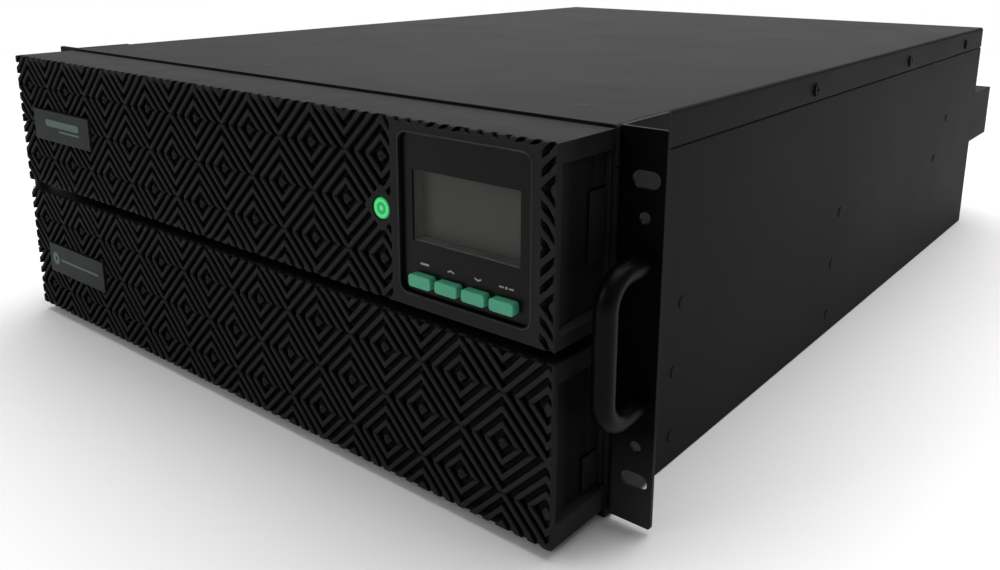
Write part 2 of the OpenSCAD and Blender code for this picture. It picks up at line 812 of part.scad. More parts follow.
// Toggle that bridges the breaker's two poles, on a pivot across the body
module breaker_toggle() {
  color("#d9d9d4") translate([breaker_x, body_d - 1, breaker_z]) {
    rod_x(5, -10, 10, 0, 0);
    rod_x(toggle_pin_r, -13, 13, 0, 0);
    rotate([24, 0, 0]) translate([-10, 0, -2.5]) cube([20, 16, 5]);
  }
}

// Blank plate over the communication card slot, with two thumb screws
module card_slot_cover() {
  color("#3a3a3c") {
    round_plate(88, 38, 1.5, body_d, body_d + 1.4, card_x, card_z);
    for (dx = [-39, 39]) {
      rod_y(4.5, body_d + 1.4 - eps, body_d + 9, card_x + dx, card_z);
      rod_y(3, body_d + 9 - eps, body_d + 10, card_x + dx, card_z);
    }
  }
}

// Serial, USB and emergency-off sockets in a common carrier
module comm_ports() {
  color("#6d7072") difference() {
    union() {
      block([12.2, rear_y - 14, port_z - 7.8], [73.8, body_d + 0.4, port_z + 7.8]);
      block([15, body_d + 0.4 - eps, port_z - 6], [34, body_d + 5, port_z + 6]);
      block([38, body_d + 0.4 - eps, port_z - 6], [50, body_d + 4, port_z + 6]);
      block([54, body_d + 0.4 - eps, port_z - 6], [71, body_d + 7, port_z + 6]);
    }
    block([17, body_d - 4, port_z - 4], [32, body_d + 6, port_z + 4]);
    block([40, body_d - 8, port_z - 4.5], [48, body_d + 6, port_z + 4.5]);
    for (i = [0:1]) block([56 + i * 7, body_d - 4, port_z - 3.5], [62 + i * 7, body_d + 8, port_z + 3.5]);
  }
}

// Two-pole socket for an extra battery cabinet
module battery_socket() {
  color("#5c6064") difference() {
    block([socket_x - 23.8, rear_y - 30, socket_z - 10.8], [socket_x + 23.8, body_d + 16, socket_z + 10.8]);
    for (dx = [-11.5, 11.5])
      block([socket_x + dx - 8, body_d - 4, socket_z - 7], [socket_x + dx + 8, body_d + 17, socket_z + 7]);
  }
}

// Row of appliance outlets, each with three contact slots
module outlets() {
  color("#151515") for (x = outlet_x) difference() {
    union() {
      block([x - 15.8, rear_y - 22, outlet_z - 11.8], [x + 15.8, body_d + 1, outlet_z + 11.8]);
      block([x - 19, body_d, outlet_z - 15], [x + 19, body_d + 3, outlet_z + 15]);
    }
    difference() {
      block([x - 12.5, body_d - 15, outlet_z - 8.5], [x + 12.5, body_d + 4, outlet_z + 8.5]);
      block([x - 10.5, body_d - 16, outlet_z - 6.5], [x + 10.5, body_d + 1, outlet_z + 6.5]);
    }
    for (dx = [-6, 0, 6])
      block([x + dx - 1, body_d - 12, outlet_z - 3], [x + dx + 1, body_d + 4, outlet_z + 3]);
  }
}

// ---------- assembly ----------

chassis_base();
top_cover();
mid_deck();
bay_divider();
front_plate();
rear_panel();
ear_left();
ear_right();
handle_left();
handle_right();
bracket_screws();
cover_screws();
side_rivets();
upper_bezel();
lower_bezel();
upper_badge();
lower_badge();
status_light();
display_panel();
display_window();
lcd_module();
display_board();
display_cable();
key_escape();
key_up();
key_down();
key_enter();
upper_latch_left();
upper_latch_right();
lower_latch_left();
lower_latch_right();
battery_tray_left();
battery_tray_right();
battery_blocks_left();
battery_blocks_right();
battery_plug_left();
battery_plug_right();
tray_pull_left();
tray_pull_right();
power_board();
board_standoffs();
heatsinks();
capacitor_bank();
inductors();
relays();
control_board();
emi_filter();
fan_frames();
fan_rotor_left();
fan_rotor_right();
fan_guards();
terminal_cover();
cable_glands();
terminal_block();
breaker_body();
breaker_toggle();
card_slot_cover();
comm_ports();
battery_socket();
outlets();
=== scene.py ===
"""Looks for the rack-mount uninterruptible power supply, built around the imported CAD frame.

Lengths are in metres, except where a name ends in _mm. +X is right, +Y is the rear, +Z is up.
"""
import json
import math

import bmesh
import bpy
import numpy as np
from mathutils import Matrix, Vector


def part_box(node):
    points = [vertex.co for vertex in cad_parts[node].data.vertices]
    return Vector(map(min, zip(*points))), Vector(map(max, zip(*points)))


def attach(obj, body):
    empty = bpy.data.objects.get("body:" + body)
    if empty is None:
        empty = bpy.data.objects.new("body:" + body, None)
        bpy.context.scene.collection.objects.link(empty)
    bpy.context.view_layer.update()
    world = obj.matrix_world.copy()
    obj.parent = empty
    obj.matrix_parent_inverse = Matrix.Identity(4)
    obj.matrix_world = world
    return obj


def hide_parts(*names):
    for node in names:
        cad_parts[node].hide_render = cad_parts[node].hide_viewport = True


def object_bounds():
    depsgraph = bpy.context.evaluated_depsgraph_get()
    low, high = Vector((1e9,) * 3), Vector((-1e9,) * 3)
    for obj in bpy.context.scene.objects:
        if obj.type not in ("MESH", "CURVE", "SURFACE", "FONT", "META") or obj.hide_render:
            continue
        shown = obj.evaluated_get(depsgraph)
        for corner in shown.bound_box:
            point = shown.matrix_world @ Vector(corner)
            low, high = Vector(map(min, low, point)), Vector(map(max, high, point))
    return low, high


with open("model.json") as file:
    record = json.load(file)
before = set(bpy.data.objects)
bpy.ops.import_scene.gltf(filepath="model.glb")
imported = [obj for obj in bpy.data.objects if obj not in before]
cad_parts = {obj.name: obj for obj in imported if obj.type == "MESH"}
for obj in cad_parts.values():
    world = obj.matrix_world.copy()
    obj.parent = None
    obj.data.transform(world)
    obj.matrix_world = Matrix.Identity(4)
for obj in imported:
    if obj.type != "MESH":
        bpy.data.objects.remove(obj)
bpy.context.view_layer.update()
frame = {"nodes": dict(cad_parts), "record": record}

MM = 0.001


# ---------- mesh helpers ----------

def new_object(name, bm):
    """A mesh object made from a bmesh, linked to the scene."""
    mesh = bpy.data.meshes.new(name)
    bm.to_mesh(mesh)
    bm.free()
    obj = bpy.data.objects.new(name, mesh)
    bpy.context.scene.collection.objects.link(obj)
    return obj


def smooth(obj, angle=35):
    """Smooth shading, with every edge sharper than the angle kept crisp."""
    obj.data.shade_smooth()
    obj.data.set_sharp_from_angle(angle=math.radians(angle))


def rounded_outline(w, h, r, steps=6):
    """Points of a rectangle with round corners, centred on the origin."""
    points = []
    for corner, (sx, sz) in enumerate(((1, 1), (-1, 1), (-1, -1), (1, -1))):
        for i in range(steps + 1):
            a = math.radians(90 * corner + 90 * i / steps)
            points.append((sx * (w / 2 - r) + r * math.cos(a), sz * (h / 2 - r) + r * math.sin(a)))
    return points


def prism(bm, outline, y0, y1, cx=0.0, cz=0.0):
    """Adds a closed prism to bm: an outline in the XZ plane, from y0 to y1."""
    front = [bm.verts.new((cx + x, y0, cz + z)) for x, z in outline]
    back = [bm.verts.new((cx + x, y1, cz + z)) for x, z in outline]
    bm.faces.new(front)
    bm.faces.new(back[::-1])
    count = len(outline)
    for i in range(count):
        j = (i + 1) % count
        bm.faces.new((front[j], front[i], back[i], back[j]))


def upright_prism(bm, outline, z0, z1):
    """Adds a closed prism to bm: an outline in the XY plane, from z0 to z1."""
    low = [bm.verts.new((x, y, z0)) for x, y in outline]
    high = [bm.verts.new((x, y, z1)) for x, y in outline]
    bm.faces.new(low[::-1])
    bm.faces.new(high)
    count = len(outline)
    for i in range(count):
        j = (i + 1) % count
        bm.faces.new((low[i], low[j], high[j], high[i]))


def slab(bm, lo, hi):
    """Adds a closed block to bm between two corners."""
    upright_prism(bm, [(lo[0], lo[1]), (hi[0], lo[1]), (hi[0], hi[1]), (lo[0], hi[1])], lo[2], hi[2])


def ring_prism(bm, w, h, r, width, y0, y1, cx, cz, flare=0.0):
    """Adds a closed frame with round corners to bm: w by h outside, the given width of material at y1,
    and wider by the flare on either side at y0."""
    rows = []
    for inset, y in ((-flare, y0), (width + flare, y0), (width, y1), (0.0, y1)):
        outline = rounded_outline(w - 2 * inset, h - 2 * inset, r - inset)
        rows.append([bm.verts.new((cx + x, y, cz + z)) for x, z in outline])
    count = len(rows[0])
    for k in range(4):
        a, b = rows[k], rows[(k + 1) % 4]
        for i in range(count):
            j = (i + 1) % count
            bm.faces.new((a[i], a[j], b[j], b[i]))


def cut(obj, cutter):
    """Takes the cutter's solids out of obj for good."""
    bmesh_fix(cutter)
    mod = obj.modifiers.new("cut", "BOOLEAN")
    mod.operation = "DIFFERENCE"
    mod.solver = "EXACT"
    mod.object = cutter
    apply_modifiers(obj)
    bpy.data.objects.remove(cutter)


def bmesh_fix(obj):
    """Turns all faces of closed solids outwards."""
    bm = bmesh.new()
    bm.from_mesh(obj.data)
    bmesh.ops.recalc_face_normals(bm, faces=bm.faces)
    bm.to_mesh(obj.data)
    bm.free()


def apply_modifiers(obj):
    """Replaces obj's mesh with its evaluated one."""
    bpy.context.view_layer.update()
    graph = bpy.context.evaluated_depsgraph_get()
    mesh = bpy.data.meshes.new_from_object(obj.evaluated_get(graph))
    obj.modifiers.clear()
    old = obj.data
    obj.data = mesh
    bpy.data.meshes.remove(old)


# ---------- the diamond ribs of the bezels ----------

CELL_HALF_W = 23.4 * MM
CELL_HALF_H = 23.33 * MM
CELL_REACH = CELL_HALF_W * CELL_HALF_H / math.hypot(CELL_HALF_W, CELL_HALF_H)
RIB_PITCH = 0.31 * CELL_REACH
GROOVE_DEPTH = 3.2 * MM
# Distance from a rib's crest, and how far the surface lies below the crest there
RIB_SECTION_MM = ((0, 0), (0.4, 0.04), (0.75, 0.16), (1.0, 0.36), (1.2, 0.72), (1.3, 1.15), (1.42, 2.9),
                  (1.65, 3.2))
# The same for the small block in the middle of a cell
BLOCK_SECTION_MM = ((0, 0.35), (0.7, 0.2), (1.3, 0.12), (1.75, 0.35), (2.1, 0.8), (2.35, 1.6), (2.6, 3.0),
                    (2.8, 3.2))
# The ribs dip where they turn a corner to the left or right: distance from the corner line, and dip
DIP_MM = ((0, 0.8), (0.35, 0.62), (0.8, 0.2), (1.4, 0.0))
TOP_ROUND = 0.9 * MM
BOTTOM_ROUND = 0.3 * MM
SIDE_ROUND = 1.0 * MM
CORNER_ROUND = 0.3 * MM
# The grooves grow shallow and narrow towards the outline: over this width, by this much
TAPER_W = 3.2 * MM
TOP_TAPER_RISE = 1.3 * MM
BOTTOM_TAPER_RISE = 2.2 * MM
LEFT_TAPER_RISE = 0.9 * MM
# The same at the right end, and round the display's level border
END_TAPER_W = 4.4 * MM
END_TAPER_RISE = 3.4 * MM
BORDER_TAPER_W = 2.4 * MM
BORDER_TAPER_RISE = 2.8 * MM
# Where a rounded edge gets an edge line, as shares of its radius
ROUND_SHARES = (0.06, 0.2, 0.42, 0.7, 1.0)
# A bezel's outer walls: distance ahead of the rear face, and how far the wall has rounded inwards there
REAR_ROUND_MM = ((1.0, 0.0), (0.5, 0.1), (0.15, 0.4), (0.0, 0.9))
# How far behind the face the outer walls have left the grooves' ends
WALL_START = 4.6 * MM
# How far around a level region the sheet is sliced along the region's sides
FLAT_REACH = 30 * MM


def cell_section():
    """(distance from the cell's middle, depth below the crests) along a line to the cell's edge."""
    points = [(s * MM, d * MM) for s, d in BLOCK_SECTION_MM]
    for k in (2, 1, 0):
        crest = CELL_REACH - k * RIB_PITCH
        points += [(crest - s * MM, d * MM) for s, d in reversed(RIB_SECTION_MM)]
        if k:
            points += [(crest + s * MM, d * MM) for s, d in RIB_SECTION_MM[1:]]
    return points


SECTION = cell_section()


class Lattice:
    """The diamonds of one bezel: a corner where four of them meet, and half of a diamond's width."""

    def __init__(self, node_x, node_z, half_w):
        self.node_x, self.node_z, self.half_w = node_x, node_z, half_w


UPPER_LATTICE = Lattice(218.3 * MM, 134.75 * MM, 23.44 * MM)
LOWER_LATTICE = Lattice(216.1 * MM, 44.75 * MM, 23.21 * MM)


def rib_depth(x, z, lattice):
    """How far the ribbed face lies behind its crests at (x, z)."""
    u = (x - lattice.node_x) / lattice.half_w
    v = (z - lattice.node_z) / CELL_HALF_H
    f = max(abs((u + v) % 2 - 1), abs((u - v) % 2 - 1))
    below = float(np.interp(f * CELL_REACH, [p[0] for p in SECTION], [p[1] for p in SECTION]))
    row = abs((v + 0.5) % 1 - 0.5) * CELL_HALF_H
    dip = float(np.interp(row, [p[0] * MM for p in DIP_MM], [p[1] * MM for p in DIP_MM]))
    return min(below + dip, GROOVE_DEPTH)


def lattice_sheet(lo, hi, lattice):
    """Flat bmesh of nested diamonds over the rectangle, with an edge along every rib line."""
    bm = bmesh.new()
    levels = [p[0] / CELL_REACH for p in SECTION[1:]]
    node_x, node_z, half_w = lattice.node_x, lattice.node_z, lattice.half_w
    m_range = range(int((lo[0] - node_x) / half_w) - 2, int((hi[0] - node_x) / half_w) + 3)
    n_range = range(int((lo[2] - node_z) / CELL_HALF_H) - 2, int((hi[2] - node_z) / CELL_HALF_H) + 3)
    for m in m_range:
        for n in n_range:
            if (m + n) % 2 == 0:
                continue
            cx = node_x + m * half_w
            cz = node_z + n * CELL_HALF_H
            middle = bm.verts.new((cx, 0, cz))
            inner = None
            for f in levels:
                a, b = f * half_w, f * CELL_HALF_H
                ring = [bm.verts.new((cx + dx, 0, cz + dz)) for dx, dz in ((a, 0), (0, b), (-a, 0), (0, -b))]
                for i in range(4):
                    j = (i + 1) % 4
                    if inner is None:
                        bm.faces.new((middle, ring[i], ring[j]))
                    else:
                        bm.faces.new((inner[i], ring[i], ring[j], inner[j]))
                inner = ring
    bmesh.ops.remove_doubles(bm, verts=bm.verts, dist=0.02 * MM)
    return bm


def slice_plane(bm, co, no, keep="both", faces=None):
    """Adds an edge line where a plane crosses the sheet, and clears the far side if asked."""
    faces = faces if faces is not None else list(bm.faces)
    edges = {e for f in faces for e in f.edges}
    verts = {v for f in faces for v in f.verts}
    bmesh.ops.bisect_plane(
        bm, geom=list(verts) + list(edges) + list(faces), dist=0.005 * MM, plane_co=co, plane_no=no,
        clear_outer=keep == "inner")


def groove_rise(left, right, low, high, border):
    """How far the grooves' floor rises, from the distances to the ends, edges and level border."""
    return max(LEFT_TAPER_RISE * (1 - left / TAPER_W), END_TAPER_RISE * (1 - right / END_TAPER_W),
               BOTTOM_TAPER_RISE * (1 - low / TAPER_W), TOP_TAPER_RISE * (1 - high / TAPER_W),
               BORDER_TAPER_RISE * (1 - border / BORDER_TAPER_W), 0.0)


def edge_drop(distance, radius):
    """How far a rounded edge falls back at a distance from the outline."""
    if distance >= radius:
        return 0.0
    return radius - math.sqrt(max(radius ** 2 - (radius - distance) ** 2, 0.0))


class Flat:
    """A region of the bezel's face that is level: |x - cx| / w + |z - cz| / h < 1, or a rectangle of
    half-width w and half-height h. The grooves may grow shallow beside it."""

    def __init__(self, cx, cz, w, h, depth=0.0, diamond=False, tapered=False):
        self.cx, self.cz, self.w, self.h = cx, cz, w, h
        self.depth = depth
        self.diamond = diamond
        self.tapered = tapered

    def outlines(self):
        """(point, normal) of each straight side, once at the side and then outside it."""
        offsets = [0.0, 0.3 * MM]
        if self.tapered:
            offsets += [0.5 * BORDER_TAPER_W, BORDER_TAPER_W]
        sides = []
        for sx, sz in ((1, 0), (-1, 0), (0, 1), (0, -1)):
            if self.diamond:
                normal = Vector(((sx - sz) / self.w, 0, (sx + sz) / self.h)).normalized()
                point = Vector((self.cx + (sx - sz) * self.w, 0, self.cz))
            else:
                normal = Vector((sx, 0, sz))
                point = Vector((self.cx + sx * self.w, 0, self.cz + sz * self.h))
            sides += [(point + normal * offset, normal) for offset in offsets]
        return sides

    def gap(self, x, z):
        """Distance of a point beside the rectangle, or a long way if the grooves keep their depth."""
        if not self.tapered or abs(z - self.cz) > self.h:
            return 1.0
        return max(abs(x - self.cx) - self.w, 0.0)

    def holds(self, x, z):
        """Whether a point lies in the region or on its outline."""
        dx, dz = abs(x - self.cx), abs(z - self.cz)
        slack = 1.0 + 1e-4
        if self.diamond:
            return dx / self.w + dz / self.h <= slack
        return dx <= self.w * slack and dz <= self.h * slack

    def near(self, face):
        """Whether a face lies close enough to be sliced along the region's sides."""
        c = face.calc_center_median()
        return abs(c.x - self.cx) < self.w + FLAT_REACH and abs(c.z - self.cz) < self.h + FLAT_REACH


def ribbed_block(name, lo, hi, lattice, flats):
    """Closed block between two corners whose front face carries the diamond ribs."""
    bm = lattice_sheet(lo, hi, lattice)
    for co, no in (((lo[0], 0, 0), (-1, 0, 0)), ((hi[0], 0, 0), (1, 0, 0)),
                   ((0, 0, lo[2]), (0, 0, -1)), ((0, 0, hi[2]), (0, 0, 1))):
        slice_plane(bm, co, no, keep="inner")
    for share in ROUND_SHARES:
        slice_plane(bm, (lo[0] + share * SIDE_ROUND, 0, 0), (-1, 0, 0))
        slice_plane(bm, (hi[0] - share * SIDE_ROUND, 0, 0), (1, 0, 0))
        slice_plane(bm, (0, 0, lo[2] + share * BOTTOM_ROUND), (0, 0, -1))
        slice_plane(bm, (0, 0, hi[2] - share * TOP_ROUND), (0, 0, 1))
    for share in (0.5, 1.0):
        slice_plane(bm, (lo[0] + share * TAPER_W, 0, 0), (-1, 0, 0))
        slice_plane(bm, (hi[0] - share * END_TAPER_W, 0, 0), (1, 0, 0))
        slice_plane(bm, (0, 0, lo[2] + share * TAPER_W), (0, 0, -1))
        slice_plane(bm, (0, 0, hi[2] - share * TAPER_W), (0, 0, 1))
    first = math.ceil((lo[2] - lattice.node_z) / CELL_HALF_H)
    last = math.floor((hi[2] - lattice.node_z) / CELL_HALF_H)
    dips = [distance for distance, _ in DIP_MM[1:]]
    for n in range(first, last + 1):
        for offset in [-distance for distance in reversed(dips)] + dips:
            slice_plane(bm, (0, 0, lattice.node_z + n * CELL_HALF_H + offset * MM), (0, 0, 1))
    for flat in flats:
        for point, normal in flat.outlines():
            slice_plane(bm, point, normal, faces=[f for f in bm.faces if flat.near(f)])

    for v in bm.verts:
        x, z = v.co.x, v.co.z
        left, right = x - lo[0], hi[0] - x
        border = min(flat.gap(x, z) for flat in flats)
        rise = groove_rise(left, right, z - lo[2], hi[2] - z, border)
        depth = max(rib_depth(x, z, lattice) - rise, 0.0)
        for flat in flats:
            if flat.holds(x, z):
                depth = flat.depth
        rim = max(edge_drop(hi[2] - z, TOP_ROUND), edge_drop(z - lo[2], BOTTOM_ROUND))
        rim = max(rim, edge_drop(min(left, right), SIDE_ROUND))
        depth = min(depth + rim, GROOVE_DEPTH + 0.9 * MM)
        v.co.y = lo[1] + depth
        # Square corners of the outline become round ones
        a = max(abs(x - (lo[0] + hi[0]) / 2) - ((hi[0] - lo[0]) / 2 - CORNER_ROUND), 0.0)
        b = max(abs(z - (lo[2] + hi[2]) / 2) - ((hi[2] - lo[2]) / 2 - CORNER_ROUND), 0.0)
        if a > 0 and b > 0:
            k = max(a, b) / math.hypot(a, b)
            v.co.x -= math.copysign(a * (1 - k), x - (lo[0] + hi[0]) / 2)
            v.co.z -= math.copysign(b * (1 - k), z - (lo[2] + hi[2]) / 2)

    # The outer walls, closed at the back with a rounded rear edge
    rim_edges = [e for e in bm.edges if e.is_boundary]
    middle_x, middle_z = (lo[0] + hi[0]) / 2, (lo[2] + hi[2]) / 2
    steps = [(lo[1] + WALL_START, 0.0)]
    steps += [(hi[1] - ahead * MM, inset * MM) for ahead, inset in REAR_ROUND_MM]
    for y, inset in steps:
        made = bmesh.ops.extrude_edge_only(bm, edges=rim_edges)["geom"]
        rim_edges = [g for g in made if isinstance(g, bmesh.types.BMEdge) and g.is_boundary]
        for v in {v for e in rim_edges for v in e.verts}:
            v.co.y = y
            for axis, mid, half in ((0, middle_x, (hi[0] - lo[0]) / 2), (2, middle_z, (hi[2] - lo[2]) / 2)):
                limit = half - inset
                if abs(v.co[axis] - mid) > limit:
                    v.co[axis] = mid + math.copysign(limit, v.co[axis] - mid)
    bmesh.ops.contextual_create(bm, geom=rim_edges)
    bmesh.ops.remove_doubles(bm, verts=bm.verts, dist=0.002 * MM)
    bmesh.ops.recalc_face_normals(bm, faces=bm.faces)
    return new_object(name, bm)


# Wall thickness above and below, at the ends, and behind the ribs
WALL = 2.5 * MM
SIDE_WALL = 5.6 * MM
FACE_WALL = 5.2 * MM
# The finger grips: depth, drop of the floor towards the outside, and foot and head
GRIP_DEPTH = 3.4 * MM
GRIP_SILL = 2.2 * MM
UPPER_GRIP_Z = (101 * MM, 168 * MM)
LOWER_GRIP_Z = (17.3 * MM, 79 * MM)
# The level border beside and over the display, and the openings for the panel and the light
DISPLAY_BORDER = 5.2 * MM
DISPLAY_TOP_BORDER = 4.2 * MM
PANEL_RADIUS = 4.2 * MM
PANEL_CLEARANCE = 0.4 * MM
LIGHT_OPENING = 11 * MM


def grip_cutters(lo, hi, height, latch_box):
    """Builders of the finger grips in both ends of a bezel: each slopes in towards the back and leaves
    a rib at the rear edge, an opening for the latch pad and a fixed pad above it. Its floor slopes."""
    z0, z1 = height
    x, rear = hi[0], hi[1]
    out = x + 1 * MM
    deep = x - GRIP_DEPTH
    latch_top = latch_box[1][2]
    pad_y0, pad_y1 = latch_box[0][1] + 3.2 * MM, latch_box[1][1] + 0.8 * MM
    slack = 0.3 * MM
    thin_slack = 0.12 * MM
    slope = [(out, lo[1] + 3.0 * MM), (x - 0.4 * MM, lo[1] + 3.0 * MM), (x - 1.9 * MM, lo[1] + 4.4 * MM),
             (deep + 0.3 * MM, latch_box[0][1] - 9 * MM), (deep, latch_box[0][1] - 6 * MM),
             (deep, pad_y0), (out, pad_y0)]
    beside_latch = [(out, pad_y0 - 1 * MM), (deep, pad_y0 - 1 * MM), (deep, pad_y1), (out, pad_y1)]
    over_pad = [(out, pad_y0 - 1 * MM), (x - 3.0 * MM, pad_y0 - 1 * MM), (x - 2.6 * MM, pad_y0 + 0.8 * MM),
                (x - 2.6 * MM, pad_y1), (out, pad_y1)]
    rear_rib = [(out, pad_y1 - 0.5 * MM), (x - 2.8 * MM, pad_y1 - 0.5 * MM),
                (x - 2.8 * MM, pad_y1 + 0.7 * MM), (x - 0.9 * MM, pad_y1 + 1.0 * MM),
                (x - 0.9 * MM, rear - 0.9 * MM), (x - 1.2 * MM, rear - 0.4 * MM), (out, rear - 0.4 * MM)]
    opening = [(out, latch_box[0][1] - thin_slack), (x - 7 * MM, latch_box[0][1] - thin_slack),
               (x - 7 * MM, latch_box[1][1] + slack), (out, latch_box[1][1] + slack)]

    def builder(low, high, outline, sill=0.0):
        def build(bm):
            for side in (-1, 1):
                upright_prism(bm, [(side * px, py) for px, py in outline], low, high)
            for v in bm.verts:
                if v.co.z < low + 0.1 * MM and abs(v.co.x) > x:
                    v.co.z -= sill
        return build

    return [builder(z0, z1, slope, GRIP_SILL), builder(z0, latch_top + 1.0 * MM, beside_latch, GRIP_SILL),
            builder(latch_top, z1, over_pad), builder(z0, z1, rear_rib),
            builder(latch_box[0][2] - slack, latch_top + slack, opening)]


def carve(obj, *builders):
    """Cuts each builder's solids out of obj, one boolean for each, so that the solids may overlap."""
    for builder in builders:
        bm = bmesh.new()
        builder(bm)
        cut(obj, new_object("cutter", bm))


def cavity(lo, hi):
    """Builder of the hollow behind a bezel's face."""
    def build(bm):
        slab(bm, (lo[0] + SIDE_WALL, lo[1] + FACE_WALL, lo[2] + WALL),
             (hi[0] - SIDE_WALL, hi[1] + 1 * MM, hi[2] - WALL))
    return build


def badge_flat(badge):
    """Level seat in the ribs for a name plate, just clear of its edges."""
    b_lo, b_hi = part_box(badge)
    seat = (b_hi[1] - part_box("lower_bezel")[0][1]) + 0.05 * MM
    return Flat((b_lo[0] + b_hi[0]) / 2, (b_lo[2] + b_hi[2]) / 2,
                (b_hi[0] - b_lo[0]) / 2 + 0.1 * MM, (b_hi[2] - b_lo[2]) / 2 + 0.1 * MM, depth=seat)


def upper_bezel():
    """Upper bezel: ribs, a level border round the display, the light's seat and the side grips."""
    lo, hi = [Vector(c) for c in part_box("upper_bezel")]
    p_lo, p_hi = [Vector(c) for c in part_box("display_panel")]
    l_lo, l_hi = [Vector(c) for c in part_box("status_light")]
    lattice = UPPER_LATTICE
    light_x = lattice.node_x - 4 * lattice.half_w
    panel_x, panel_z = (p_lo.x + p_hi.x) / 2, (p_lo.z + p_hi.z) / 2
    panel_w = p_hi.x - p_lo.x
    low_z = lo.z - 1 * MM
    top_z = p_hi.z + DISPLAY_TOP_BORDER
    flats = [
        Flat(panel_x, (low_z + top_z) / 2, panel_w / 2 + DISPLAY_BORDER, (top_z - low_z) / 2, tapered=True),
        Flat(light_x, lattice.node_z, 0.46 * CELL_HALF_W, 0.46 * CELL_HALF_H, diamond=True),
        badge_flat("upper_badge"),
    ]
    obj = ribbed_block("upper_bezel_moulding", lo, hi, lattice, flats)
    face = lo.y

    def openings(bm):
        y0, y1 = face - 2 * MM, face + 8 * MM
        w = panel_w + PANEL_CLEARANCE
        prism(bm, rounded_outline(w, w, PANEL_RADIUS), y0, y1, panel_x, panel_z)
        lx, lz = (l_lo.x + l_hi.x) / 2, (l_lo.z + l_hi.z) / 2
        # The radius stays just short of a full round, so that no two points coincide
        radius = LIGHT_OPENING / 2 - 0.01 * MM
        prism(bm, rounded_outline(LIGHT_OPENING, LIGHT_OPENING, radius), y0, y1, lx, lz)

    grips = grip_cutters(lo, hi, UPPER_GRIP_Z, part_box("upper_latch_right"))
    carve(obj, cavity(lo, hi), openings, *grips)
    return obj


def lower_bezel():
    """Lower bezel: ribs from end to end, a badge and the side grips."""
    lo, hi = [Vector(c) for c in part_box("lower_bezel")]
    obj = ribbed_block("lower_bezel_moulding", lo, hi, LOWER_LATTICE, [badge_flat("lower_badge")])
    carve(obj, cavity(lo, hi), *grip_cutters(lo, hi, LOWER_GRIP_Z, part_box("lower_latch_right")))
    return obj


# ---------- materials ----------

def linear(hex_colour):
    """Linear RGBA of a hex sRGB colour."""
    out = []
    for i in (1, 3, 5):
        c = int(hex_colour[i:i + 2], 16) / 255
        out.append(c / 12.92 if c <= 0.04045 else ((c + 0.055) / 1.055) ** 2.4)
    return out + [1.0]


